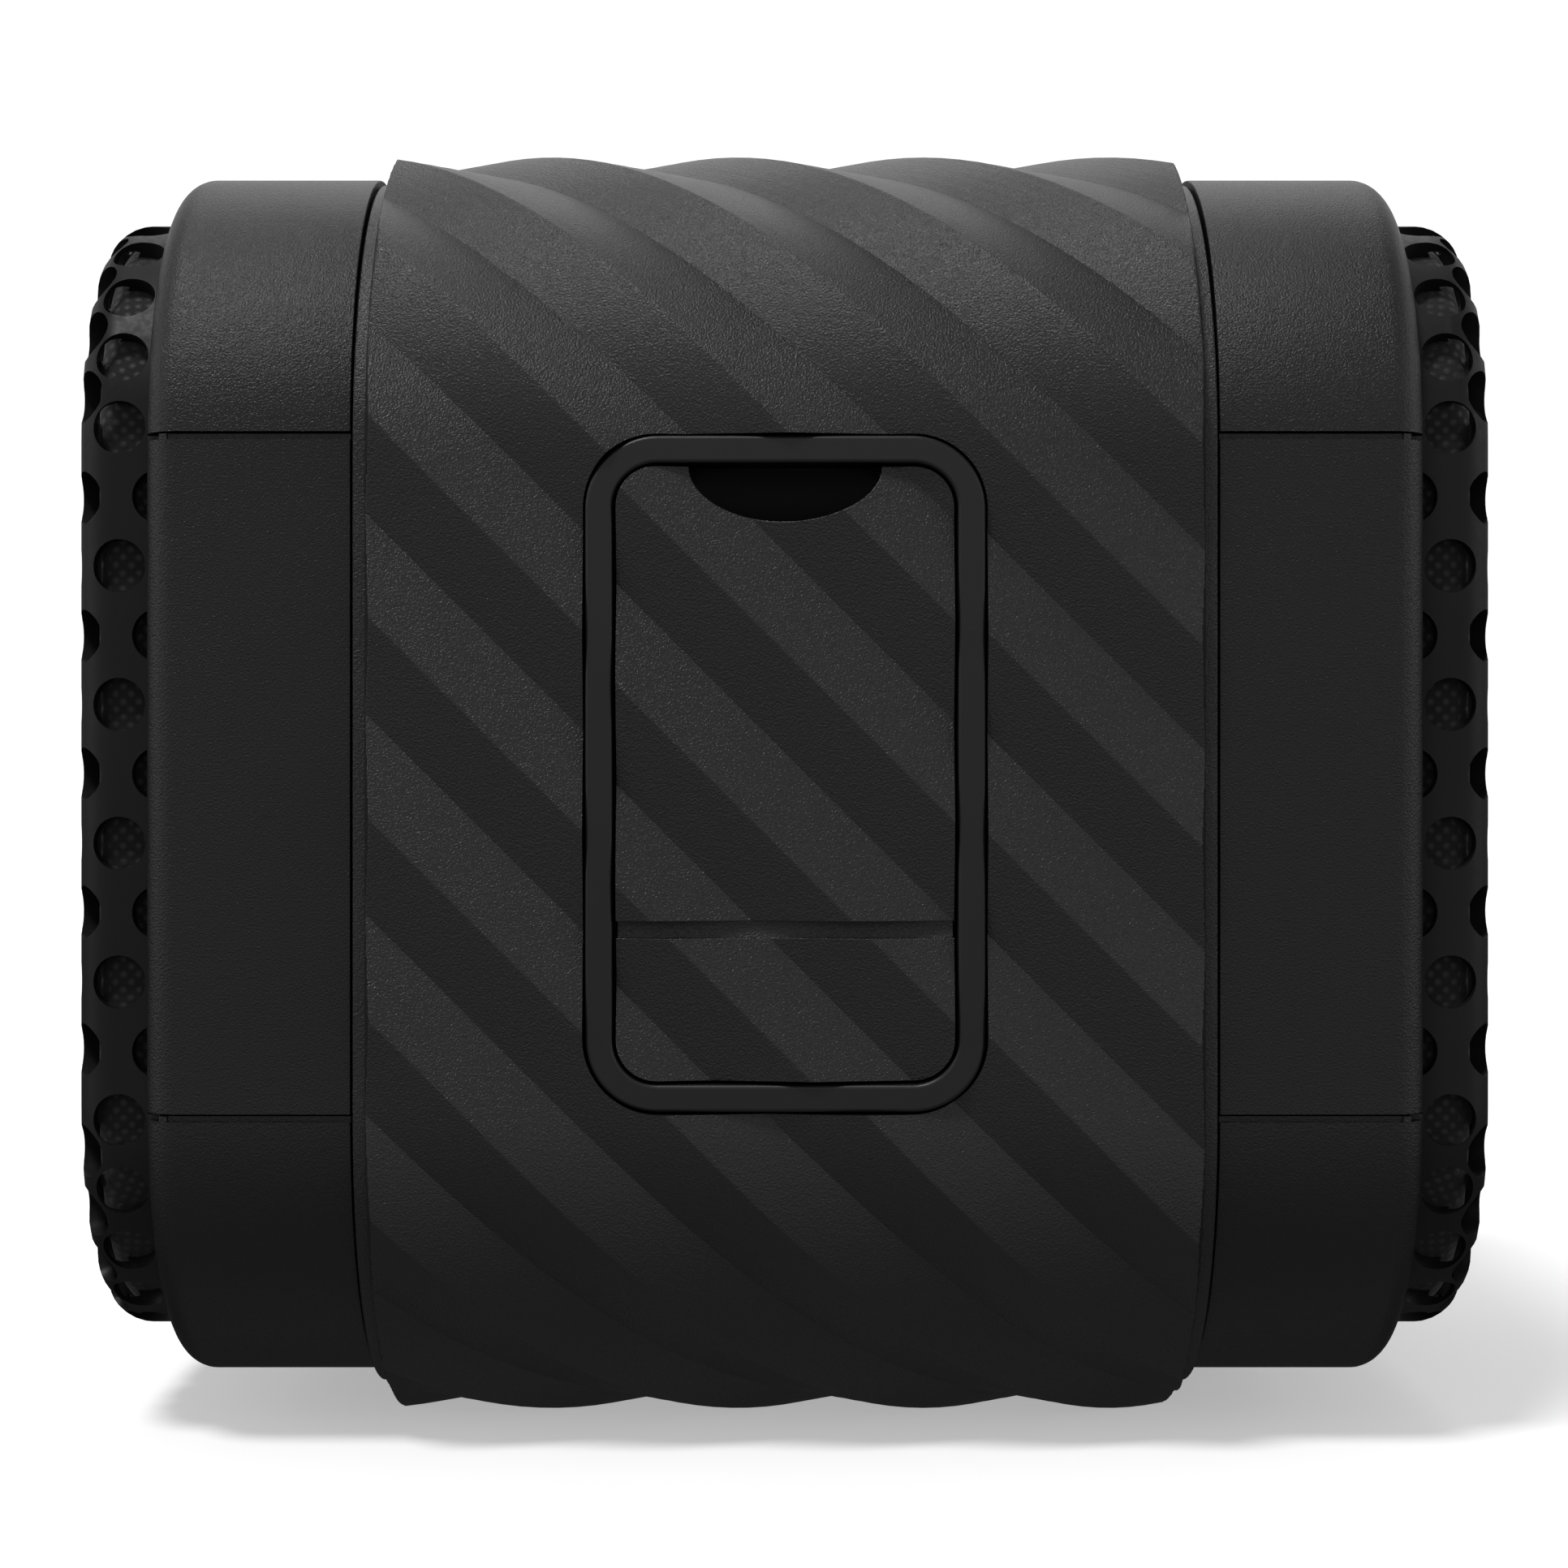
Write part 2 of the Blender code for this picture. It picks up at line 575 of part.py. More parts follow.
def build_port(finishes):
    build_frame("port_frame", -1, finishes)
    half = FLAP_WIDTH / 2
    bottom = CENTRE_Z - FLAP_HEIGHT / 2
    top = CENTRE_Z + FLAP_HEIGHT / 2
    ridges = helper("ridge_slab", ridged_block())
    axis = (0.0, -FOLD_Y, FOLD_Z)
    pieces = (
        ("port_door", FOLD_Z + FOLD_WIDTH / 2, top, [FLAP_RADIUS, FLAP_RADIUS, 0.0, 0.0], axis),
        ("port_tab", bottom, FOLD_Z - FOLD_WIDTH / 2, [0.0, 0.0, FLAP_RADIUS, FLAP_RADIUS], (0.0, 0.0, 0.0)),
    )
    made = {}
    for name, low, high, radii, origin in pieces:
        body = prism(outline(-half, half, low, high, radii), -CREST_Y - FLAP_THICKNESS, -FLAP_Y)
        made[name] = add_object(name, body, finishes["sleeve"], origin)
        combine(made[name], ridges, "INTERSECT")
    notch = prism(ellipse(NOTCH_WIDTH / 2, NOTCH_DEPTH, 0.0, top), -CREST_Y * 1.2, -FLAP_Y * 0.9)
    combine(made["port_door"], helper("finger_notch", notch), "DIFFERENCE")

    web_z = FOLD_WIDTH / 2 - GAP
    web_y = FOLD_Y - WEB_DEPTH
    web = block((FLAP_WIDTH, WEB_THICKNESS, 2 * web_z), (0.0, -web_y, FOLD_Z))
    add_object("port_hinge_web", web, finishes["sleeve"])

    plate = prism(centred_outline(FLAP_WIDTH, FLAP_HEIGHT, FLAP_RADIUS), -PORT_PANEL_Y, -(BARREL_HALF + GAP))
    panel = add_object("port_panel", plate, finishes["frame"])
    well_z = AUX_BODY / 2 + GAP
    well_left = USB_X - USB_WIDTH / 2 - WELL_MARGIN
    well_right = AUX_X + AUX_BODY / 2 + WELL_MARGIN
    well = outline(well_left, well_right, SOCKET_Z - well_z, SOCKET_Z + well_z, [WELL_RADIUS] * 4)
    cutter = prism(well, -CREST_Y, -(PORT_PANEL_Y - WELL_DEPTH))
    combine(panel, helper("socket_well", cutter), "DIFFERENCE")
    usb_hole = centred_outline(USB_WIDTH + 2 * GAP, USB_HEIGHT + 2 * GAP, USB_HEIGHT / 2, USB_X, SOCKET_Z)
    aux_hole = ellipse(AUX_BODY / 2 + GAP, AUX_BODY / 2 + GAP, AUX_X, SOCKET_Z)
    for name, points in (("usb_hole", usb_hole), ("aux_hole", aux_hole)):
        combine(panel, helper(name, prism(points, -CREST_Y, -BARREL_HALF / 2)), "DIFFERENCE")


def build_sockets(finishes):
    face = -SOCKET_Y
    back = -(SOCKET_Y - SOCKET_DEPTH)
    outer = centred_outline(USB_WIDTH, USB_HEIGHT, USB_HEIGHT * ROUND_END, USB_X, SOCKET_Z)
    socket = add_object("usb_socket", prism(outer, face, back), finishes["steel"])
    mouth_width = USB_WIDTH - 2 * USB_SHEET
    mouth_height = USB_HEIGHT - 2 * USB_SHEET
    mouth = centred_outline(mouth_width, mouth_height, mouth_height * ROUND_END, USB_X, SOCKET_Z)
    tongue = centred_outline(TONGUE_WIDTH, TONGUE_HEIGHT, TONGUE_RADIUS, USB_X, SOCKET_Z)
    mouth_cut = prism(mouth, face - GAP, face + USB_MOUTH_DEPTH)
    combine(socket, helper("usb_mouth", mouth_cut), "DIFFERENCE")
    tongue_body = prism(tongue, face + PLUG_REACH + GAP, face + (USB_MOUTH_DEPTH + SOCKET_DEPTH) / 2)
    combine(socket, helper("usb_tongue", tongue_body), "UNION")

    barrel = ellipse(AUX_BODY / 2, AUX_BODY / 2, AUX_X, SOCKET_Z)
    jack = add_object("aux_jack", prism(barrel, face, back), finishes["jack"])
    bore = ellipse(AUX_BORE, AUX_BORE, AUX_X, SOCKET_Z, 16)
    combine(jack, helper("aux_bore", prism(bore, face - GAP, face + AUX_BORE_DEPTH)), "DIFFERENCE")

    root = -(FLAP_Y - GAP)
    step = root + PLUG_FLANGE
    tip = face + PLUG_REACH
    axis = (0.0, -FOLD_Y, FOLD_Z)
    flange = centred_outline(USB_WIDTH, USB_HEIGHT, USB_HEIGHT * ROUND_END, USB_X, SOCKET_Z)
    bung_width = mouth_width - 2 * PLUG_FIT
    bung_height = mouth_height - 2 * PLUG_FIT
    bung = centred_outline(bung_width, bung_height, bung_height * ROUND_END, USB_X, SOCKET_Z)
    layers = ((flange, root), (flange, step), (bung, step), (bung, tip))
    add_object("usb_plug", stepped_prism(layers), finishes["sleeve"], axis)
    flange = ellipse(AUX_BORE + AUX_FLANGE, AUX_BORE + AUX_FLANGE, AUX_X, SOCKET_Z, 16)
    bung = ellipse(AUX_BORE - PLUG_FIT, AUX_BORE - PLUG_FIT, AUX_X, SOCKET_Z, 16)
    layers = ((flange, root), (flange, step), (bung, step), (bung, tip))
    add_object("aux_plug", stepped_prism(layers), finishes["sleeve"], axis)


def build_controls(finishes):
    build_frame("control_frame", 1, finishes)
    width = FRAME_WIDTH - 2 * (FRAME_RING + GAP)
    height = FRAME_HEIGHT - 2 * (FRAME_RING + GAP)
    plate = prism(centred_outline(width, height, FLAP_RADIUS), CONTROL_Y - PANEL_THICKNESS, CONTROL_Y)
    panel = add_object("control_panel", plate, finishes["frame"])
    for name, height_above, button_width, button_height in BUTTONS:
        z = CENTRE_Z + height_above
        round_end = button_height * ROUND_END
        fit = 2 * BUTTON_FIT
        hole = centred_outline(button_width + fit, button_height + fit, round_end, 0.0, z)
        cutter = prism(hole, CONTROL_Y - 2 * PANEL_THICKNESS, CONTROL_Y + PANEL_THICKNESS)
        combine(panel, helper(f"{name}_hole", cutter), "DIFFERENCE")
        cap = centred_outline(button_width, button_height, round_end, 0.0, z)
        crown = centred_outline(button_width - BUTTON_PROUD, button_height - BUTTON_PROUD,
                                round_end - BUTTON_PROUD / 2, 0.0, z)
        lip = centred_outline(button_width + 2 * BUTTON_LIP, button_height + 2 * BUTTON_LIP,
                              round_end, 0.0, z)
        stem = centred_outline(2 * STEM_RADIUS, 2 * STEM_RADIUS, 2 * STEM_RADIUS * ROUND_END, 0.0, z)
        lip_back = BUTTON_LIP_Y - BUTTON_LIP_THICKNESS
        face = CONTROL_Y + BUTTON_PROUD
        layers = ((stem, STEM_Y), (stem, lip_back), (lip, lip_back), (lip, BUTTON_LIP_Y),
                  (cap, BUTTON_LIP_Y), (cap, face - BUTTON_PROUD / 2), (crown, face))
        add_object(name, stepped_prism(layers), finishes["button"], (0.0, face, z))

    light_z = CENTRE_Z + BUTTONS[0][1]
    microphone_z = CENTRE_Z + BUTTONS[-1][1]
    light_hole = ellipse(LIGHT_PIPE_RADIUS + BUTTON_FIT, LIGHT_PIPE_RADIUS + BUTTON_FIT, SIDE_X, light_z, 12)
    sound_hole = ellipse(MICROPHONE_HOLE, MICROPHONE_HOLE, SIDE_X, microphone_z, 12)
    for name, points in (("light_hole", light_hole), ("sound_hole", sound_hole)):
        cutter = prism(points, CONTROL_Y - 2 * PANEL_THICKNESS, CONTROL_Y + PANEL_THICKNESS)
        combine(panel, helper(name, cutter), "DIFFERENCE")
    board_face = CONTROL_BOARD_Y + GAP
    pipe = ellipse(LIGHT_PIPE_RADIUS, LIGHT_PIPE_RADIUS, SIDE_X, light_z, 12)
    add_object("led_light_pipe", prism(pipe, board_face, CONTROL_Y), finishes["clear"])
    capsule = ellipse(MICROPHONE_RADIUS, MICROPHONE_RADIUS, SIDE_X, microphone_z, 16)
    capsule_face = CONTROL_Y - PANEL_THICKNESS - GAP
    add_object("microphone", prism(capsule, board_face, capsule_face), finishes["steel"])

    board_centre = (0.0, CONTROL_BOARD_Y - BOARD_THICKNESS / 2, CENTRE_Z)
    board_size = (CONTROL_BOARD_WIDTH, BOARD_THICKNESS, FLAP_HEIGHT)
    board = add_object("control_board", block(board_size, board_centre), finishes["board"])
    switches = bmesh.new()
    for _, height_above, _, _ in BUTTONS:
        side = 2 * STEM_RADIUS
        pad = centred_outline(side, side, STEM_RADIUS / 2, 0.0, CENTRE_Z + height_above, 2)
        add_prism(switches, pad, CONTROL_BOARD_Y - BOARD_THICKNESS / 2, SWITCH_Y)
    combine(board, helper("tact_switches", switches), "UNION")


def screw_places():
    """(y, z) of the four screws round a driver's flange."""
    reach = SCREW_CIRCLE / math.sqrt(2)
    return [(y, CENTRE_Z + z) for y in (-reach, reach) for z in (-reach, reach)]


def add_rod(bm, y, z, rings, steps=SCREW_STEPS):
    """A round body along X, from (x, radius) rings."""
    loops = []
    for x, radius in rings:
        angles = [2 * math.pi * i / steps for i in range(steps)]
        loops.append([bm.verts.new((x, y + radius * math.cos(a), z + radius * math.sin(a))) for a in angles])
    bm.faces.new(loops[0])
    bm.faces.new(loops[-1])
    for first, second in zip(loops, loops[1:]):
        for i in range(steps):
            k = (i + 1) % steps
            bm.faces.new((first[i], first[k], second[k], second[i]))


def build_end(name, side, finishes):
    """The grille, cloth, baffle and driver of one end."""
    inner_fillet = GRILLE_FILLET - GRILLE_SHEET
    inner_edge = quarter_arc(GRILLE_END - GRILLE_FILLET, GRILLE_HALF - GRILLE_FILLET, inner_fillet)
    outer_edge = quarter_arc(GRILLE_END - GRILLE_FILLET, GRILLE_HALF - GRILLE_FILLET, GRILLE_FILLET)
    base = BAFFLE_FACE + GAP
    foot = [(base, GRILLE_HALF - GRILLE_SHEET), (base, GRILLE_HALF)]
    profile = list(reversed(inner_edge)) + foot + outer_edge
    path = section_path(GRILLE_FLAT)
    grille = sweep(mirrored(profile, side), path, GRILLE_FLAT, closed_profile=False)
    add_object(f"{name}_grille", grille, finishes["grille"])

    inside = CLOTH_HALF - CLOTH_THICKNESS
    profile = [(CLOTH_END - CLOTH_THICKNESS, inside - CLOTH_THICKNESS), (base, inside), (base, CLOTH_HALF),
               (CLOTH_END - CLOTH_THICKNESS, CLOTH_HALF), (CLOTH_END, CLOTH_HALF - CLOTH_THICKNESS)]
    cloth = sweep(mirrored(profile, side), path, GRILLE_FLAT, closed_profile=False)
    add_object(f"{name}_grille_cloth", cloth, finishes["cloth"])

    profile = [(BARREL_END + GAP, BARREL_HALF), (BAFFLE_FACE, BARREL_HALF)]
    plate = sweep(mirrored(profile, side), section_path(FLAT_HALF), FLAT_HALF, closed_profile=False)
    baffle = add_object(f"{name}_baffle", plate, finishes["chassis"])
    mouth = [(BARREL_END - GAP, 0.0), (BARREL_END - GAP, BASKET_RADIUS + GAP),
             (GRILLE_END, BASKET_RADIUS + GAP), (GRILLE_END, 0.0)]
    mouth_cutter = helper(f"{name}_driver_mouth", turned(mirrored(mouth, side), closed=False, steps=32))
    combine(baffle, mouth_cutter, "DIFFERENCE")

    gasket_back = BAFFLE_FACE + GAP
    gasket_face = gasket_back + GASKET_THICKNESS
    profile = [(gasket_back, BASKET_RADIUS + GAP), (gasket_back, FLANGE_RADIUS),
               (gasket_face, FLANGE_RADIUS), (gasket_face, BASKET_RADIUS + GAP)]
    gasket = add_object(f"{name}_driver_gasket", turned(mirrored(profile, side)), finishes["sleeve"])

    neck = FLANGE_FACE - BASKET_DEPTH
    seat_radius = MAGNET_RADIUS + MAGNET_SEAT
    sheet = FLANGE_THICKNESS
    profile = [(FLANGE_FACE, FLANGE_RADIUS), (FLANGE_BACK, FLANGE_RADIUS), (FLANGE_BACK, BASKET_RADIUS),
               (neck + sheet, seat_radius), (neck, seat_radius), (neck, COIL_RADIUS + 3 * GAP),
               (neck + sheet, COIL_RADIUS + 3 * GAP), (neck + sheet, seat_radius - 2 * sheet),
               (FLANGE_BACK, BASKET_RADIUS - 2 * sheet), (FLANGE_FACE, BASKET_RADIUS - 2 * sheet)]
    basket = add_object(f"{name}_driver_basket", turned(mirrored(profile, side)), finishes["steel"])

    magnet_face = neck - GAP
    profile = [(magnet_face, 0.0), (magnet_face, MAGNET_RADIUS - MAGNET_BEVEL),
               (magnet_face - MAGNET_BEVEL, MAGNET_RADIUS),
               (magnet_face - MAGNET_DEPTH, MAGNET_RADIUS), (magnet_face - MAGNET_DEPTH, 0.0)]
    add_object(f"{name}_driver_magnet", turned(mirrored(profile, side), closed=False), finishes["magnet"])

    edge_x = FLANGE_FACE - 2 * CONE_TRAVEL / 3
    coil_back = neck + CONE_TRAVEL + 2 * GAP
    coil_inside = COIL_RADIUS - CONE_SHEET
    throat_x = coil_back + (edge_x - coil_back) * COIL_SHARE
    profile = [(throat_x + 3 * CONE_SHEET, 0.0), (throat_x + 2 * CONE_SHEET, COIL_RADIUS * 0.7),
               (throat_x + CONE_SHEET, COIL_RADIUS + CONE_SHEET), (edge_x, CONE_RADIUS),
               (edge_x - CONE_SHEET, CONE_RADIUS), (throat_x - CONE_SHEET, COIL_RADIUS),
               (coil_back, COIL_RADIUS), (coil_back, coil_inside), (throat_x, coil_inside),
               (throat_x + CONE_SHEET, COIL_RADIUS * 0.65), (throat_x + 2 * CONE_SHEET, 0.0)]
    cone = turned(mirrored(profile, side), closed=False)
    add_object(f"{name}_cone", cone, finishes["cone"], (side * edge_x, 0.0, CENTRE_Z))

    roll_inner = CONE_RADIUS + 1.5 * GAP
    roll_outer = BASKET_RADIUS
    seat = FLANGE_FACE + GAP
    height = CLOTH_END - CLOTH_THICKNESS - GAP - seat
    roll = SURROUND_EDGE
    middle = (roll_inner + roll_outer) / 2
    profile = [(seat, roll_outer), (seat, roll_inner), (seat + roll, roll_inner),
               (seat + height, middle - roll), (seat + height, middle + roll), (seat + roll, roll_outer)]
    surround = add_object(f"{name}_surround", turned(mirrored(profile, side)), finishes["sleeve"])
    hollow = [(seat - GAP, roll_inner + roll), (seat + height - roll, middle),
              (seat - GAP, roll_outer - roll)]
    groove = helper(f"{name}_surround_hollow", turned(mirrored(hollow, side)))
    combine(surround, groove, "DIFFERENCE")

    holes = bmesh.new()
    hole_radius = SCREW_RADIUS + GAP
    for y, z in screw_places():
        add_rod(holes, y, z, ((side * BARREL_END, hole_radius), (side * GRILLE_END, hole_radius)))
    hole_cutter = helper(f"{name}_screw_holes", holes)
    for holed in (baffle, gasket, basket):
        combine(holed, hole_cutter, "DIFFERENCE")
    head = FLANGE_FACE + GAP
    rings = ((head - SCREW_LENGTH, SCREW_RADIUS), (head, SCREW_RADIUS), (head, SCREW_HEAD_RADIUS),
             (head + SCREW_HEAD * 0.6, SCREW_HEAD_RADIUS), (head + SCREW_HEAD, SCREW_HEAD_RADIUS * 0.6))
    for number, (y, z) in enumerate(screw_places(), 1):
        screw = bmesh.new()
        add_rod(screw, y, z, [(side * x, radius) for x, radius in rings])
        add_object(f"{name}_driver_screw_{number}", screw, finishes["steel"])


def add_cell(bm, radius, length):
    return bmesh.ops.create_cone(
        bm, cap_ends=True, segments=ROUND_STEPS, radius1=radius, radius2=radius, depth=length
    )


def build_inside(finishes):
    width, thickness, height = MAIN_BOARD_SIZE
    board_centre = (0.0, -(MAIN_BOARD_Y - thickness / 2), CENTRE_Z)
    add_object("main_board", block((width, thickness, height), board_centre), finishes["board"])
    cells = (
        ("battery_cell_rear", CELL_PAIR_Y - CELL_SPACING / 2),
        ("battery_cell_front", CELL_PAIR_Y + CELL_SPACING / 2),
    )
    for name, y in cells:
        bm = bmesh.new()
        add_cell(bm, CELL_RADIUS, CELL_LENGTH)
        cell = add_object(name, bm, finishes["battery"])
        cell.location = (0.0, y, CENTRE_Z)
    reach = CELL_SPACING / 2 + CELL_RADIUS + HOLDER_MARGIN
    for name, side in (("battery_tray", -1), ("battery_clamp", 1)):
        inner = CELL_LENGTH / 2 - HOLDER_GRIP
        outer = CELL_LENGTH / 2 - HOLDER_GRIP + HOLDER_HEIGHT
        centre = (0.0, CELL_PAIR_Y, CENTRE_Z + side * (inner + outer) / 2)
        body = block((2 * (CELL_RADIUS + HOLDER_MARGIN), 2 * reach, HOLDER_HEIGHT), centre)
        holder = add_object(name, body, finishes["chassis"])
        pockets = bmesh.new()
        for _, y in cells:
            pocket = add_cell(pockets, CELL_RADIUS + GAP, CELL_LENGTH + 2 * GAP)
            bmesh.ops.translate(pockets, verts=pocket["verts"], vec=(0.0, y, CENTRE_Z))
        combine(holder, helper(f"{name}_pockets", pockets), "DIFFERENCE")


def main():
    clear_scene()
    finishes = {
        "housing": material("housing_plastic", (0.022, 0.022, 0.024), 0.55),
        "sleeve": material("sleeve_rubber", (0.020, 0.020, 0.021), 0.65),
        "frame": material("frame_plastic", (0.020, 0.020, 0.021), 0.5),
        "chassis": material("chassis_plastic", (0.03, 0.03, 0.03), 0.6),
        "grille": material("grille_metal", (0.018, 0.018, 0.020), 0.38, 0.3),
        "cloth": material("grille_cloth", (0.006, 0.006, 0.006), 0.95),
        "steel": material("plated_steel", (0.55, 0.55, 0.56), 0.3, 1.0),
        "magnet": material("magnet_ferrite", (0.05, 0.05, 0.055), 0.5, 0.4),
        "cone": material("cone_paper", (0.02, 0.02, 0.02), 0.8),
        "jack": material("jack_plastic", (0.01, 0.01, 0.01), 0.4),
        "button": material("button_rubber", (0.03, 0.03, 0.031), 0.6),
        "clear": material("light_pipe_plastic", (0.7, 0.75, 0.8), 0.15),
        "board": material("circuit_board", (0.01, 0.10, 0.03), 0.4),
        "battery": material("battery_wrap", (0.03, 0.08, 0.22), 0.35),
    }
    build_housing(finishes)
    build_sleeve(finishes)
    build_barrel(finishes)
    build_port(finishes)
    build_sockets(finishes)
    build_controls(finishes)
    for name, side in (("left", -1), ("right", 1)):
        build_end(name, side, finishes)
    build_inside(finishes)


main()
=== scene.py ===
import math

import bmesh
import bpy
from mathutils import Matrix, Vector


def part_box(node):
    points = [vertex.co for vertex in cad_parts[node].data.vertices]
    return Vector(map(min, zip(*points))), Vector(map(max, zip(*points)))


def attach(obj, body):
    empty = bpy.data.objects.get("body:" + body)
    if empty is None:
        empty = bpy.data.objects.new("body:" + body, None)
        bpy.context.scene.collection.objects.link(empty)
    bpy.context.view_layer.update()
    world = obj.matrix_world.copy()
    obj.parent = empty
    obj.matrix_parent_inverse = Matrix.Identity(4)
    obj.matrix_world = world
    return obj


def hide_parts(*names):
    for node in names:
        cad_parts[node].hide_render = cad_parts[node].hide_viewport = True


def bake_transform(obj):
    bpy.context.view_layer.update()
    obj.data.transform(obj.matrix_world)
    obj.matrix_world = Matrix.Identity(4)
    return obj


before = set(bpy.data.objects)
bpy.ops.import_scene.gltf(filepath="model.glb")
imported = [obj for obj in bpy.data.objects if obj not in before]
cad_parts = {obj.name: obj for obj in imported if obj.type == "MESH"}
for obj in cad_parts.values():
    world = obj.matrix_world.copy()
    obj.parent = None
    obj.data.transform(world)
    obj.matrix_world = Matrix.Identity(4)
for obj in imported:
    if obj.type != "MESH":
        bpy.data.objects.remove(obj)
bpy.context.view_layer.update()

MM = 0.001

# Places read from the frame
CENTRE_Z = sum(corner.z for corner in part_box("left_grille")) / 2
HOUSING_HALF = -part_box("left_back_panel")[0].y
HOUSING_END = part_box("right_back_panel")[1].x
SLEEVE_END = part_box("center_sleeve")[1].x
CREST_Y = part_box("center_sleeve")[1].y
SLEEVE_Z = sum(corner.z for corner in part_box("center_sleeve")) / 2
GRILLE_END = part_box("right_grille")[1].x
GRILLE_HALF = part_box("right_grille")[1].y
GRILLE_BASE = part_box("right_grille")[0].x
FRAME_LOW, FRAME_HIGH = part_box("port_frame")
DOOR_LOW, DOOR_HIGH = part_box("port_door")
TAB_LOW, TAB_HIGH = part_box("port_tab")
PANEL_LOW, PANEL_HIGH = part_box("port_panel")
USB_LOW, USB_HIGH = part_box("usb_socket")
USB_WIDTH = USB_HIGH.x - USB_LOW.x
USB_HEIGHT = USB_HIGH.z - USB_LOW.z
AUX_LOW, AUX_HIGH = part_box("aux_jack")
CONTROL_LOW, CONTROL_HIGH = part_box("control_panel")

# Housing, as in the CAD
FLAT_HALF = 23.65 * MM
HOUSING_WALL = 2.35 * MM
HOUSING_FILLET = 2.4 * MM
LIP_THICKNESS = 1.7 * MM
SEAM_HEIGHT = 24.2 * MM
GAP = 0.3 * MM
SEEN_GAP = 0.18 * MM  # the visible pieces sit a little closer to each other than the solids
SEAM_LINE = 0.16 * MM  # the open gap between two shells
SEAM_BAND = 0.42 * MM  # width of the rebate beside it
SEAM_DEPTH = 0.28 * MM
SEAM_NOTCH_DEPTH = 1.5 * MM
RIB_START = 43.75 * MM  # X of the rib that closes a seam's rebate
NOTCH_START = 44.35 * MM  # X where the seam's deep notch begins
EDGE_ROUND = 0.1 * MM

# Ridges of the sleeve
RIDGE_COUNT = 24
RIDGE_DEPTH = 1.25 * MM
CREST_PHASE = 3.46 * MM
CREST_ROUNDING = 0.012
RIDGE_SHARES = (0.0, 0.003, 0.008, 0.018, 0.1, 0.2, 0.3, 0.4, 0.485, 0.5)  # of the pitch, from the crest
RIM_RISE = 0.25 * MM
RIM_WIDTH = 0.85 * MM
RUN_OUT = 0.6 * MM  # where the ridges come down to the rim
RUN_OUT_CURVE = 1.6
RUN_OUT_SHARES = (0.14, 0.28, 0.42, 0.56, 0.7, 0.85, 1.0)
RIM_SHARES = (0.12, 0.88, 1.0)
SLEEVE_COLUMNS = 44

# Grille
GRILLE_FLAT = 24.0 * MM
GRILLE_FILLET = 2.9 * MM
GRILLE_SHEET = 1.2 * MM
HOLE_RADIUS = 1.925 * MM
HOLE_PITCH = 9.98 * MM  # between two holes of one column
COLUMN_SPACING = 2.88 * MM
COLUMN_X = 47.9 * MM
CORNER_HOLES = 4  # of the outer column, on each corner
EDGE_HOLE_ANGLE = 60.0
EDGE_HOLE_CLEARANCE = 5.0 * MM  # kept from the edge's holes by those of the end face
FACE_MARGIN = 0.4 * MM
CUT_REACH = 1.2 * MM  # of a cutting bar, beyond the sheet
CLOTH_GAP = 0.08 * MM  # the cloth lies just behind the pierced sheet
CLOTH_END = GRILLE_END - GRILLE_SHEET - CLOTH_GAP
CLOTH_HALF = GRILLE_HALF - GRILLE_SHEET - CLOTH_GAP
CLOTH_SHEET = 0.35 * MM
KNOT_SPACING = 0.82 * MM

# Door and its frame
FRAME_RING = 1.8 * MM
FRAME_RADIUS = 5.0 * MM
FLAP_RADIUS = 2.9 * MM
FRAME_BEVEL = 0.24 * MM
DOOR_BEVEL = 0.12 * MM
FOLD_BEVEL = 0.05 * MM
NOTCH_WIDTH = 13.6 * MM
NOTCH_DEPTH = 3.9 * MM
NOTCH_BEVEL = 0.28 * MM
DOOR_SHIFT = 1.47 * MM  # the door's ridges sit this far beside the sleeve's
SCOOP_DEPTH = 1.5 * MM  # of the finger hollow behind the notch
SEEN_GROWTH = 0.06 * MM  # the door and the tab come this much closer to the frame than their solids
DOOR_TOP_GROWTH = 0.1 * MM
TROUGH_DEPTH = 0.12 * MM  # of the hinge web
WEB_LAP = 0.5 * MM
WEB_ROWS = 16
WEB_COLUMNS = 24

# Sockets and plugs
WELL_DEPTH = 1.0 * MM
WELL_RADIUS = 1.5 * MM
WELL_MARGIN = 2.0 * MM
AUX_BORE = 1.8 * MM
USB_SHEET = 0.3 * MM
TONGUE_FRONT = 1.0 * MM  # behind the USB socket's mouth
TONGUE_WIDTH_SHARE = 0.8
TONGUE_HEIGHT_SHARE = 0.28
CONTACT_COUNT = 6
CONTACT_PITCH = 0.95 * MM
PLUG_FLANGE = 0.9 * MM
BUNG_FIT = 0.45 * MM  # all round, inside its socket

# Controls
BUTTON_NODES = ("power_button", "volume_up_button", "play_button", "volume_down_button", "pairing_button")
BUTTON_LIP = 0.7 * MM
BUTTON_FIT = 0.3 * MM
BUTTON_CROWN = ((0.0, 0.42), (0.05, 0.26), (0.16, 0.13), (0.34, 0.05), (0.7, 0.02), (1.2, 0.005), (1.8, 0.0))
STEM_RADIUS = 1.5 * MM
STEM_LENGTH = 2.6 * MM
ROUND_END = 0.49  # corner radius of an end that looks half round, as a share of the height
MARK_RISE = 0.1 * MM
MARK_STROKE = 0.4 * MM
MARK_RADIUS = 1.6 * MM
MICROPHONE_HOLE = 0.6 * MM

ENDS = (("left", -1), ("right", 1))


# --- Materials ---


NOISE_RANGE = (0.3, 0.7)  # nearly all of a noise's values lie in it
MARK_SHARE = 0.35  # of the broad handling marks, beside the fine grain


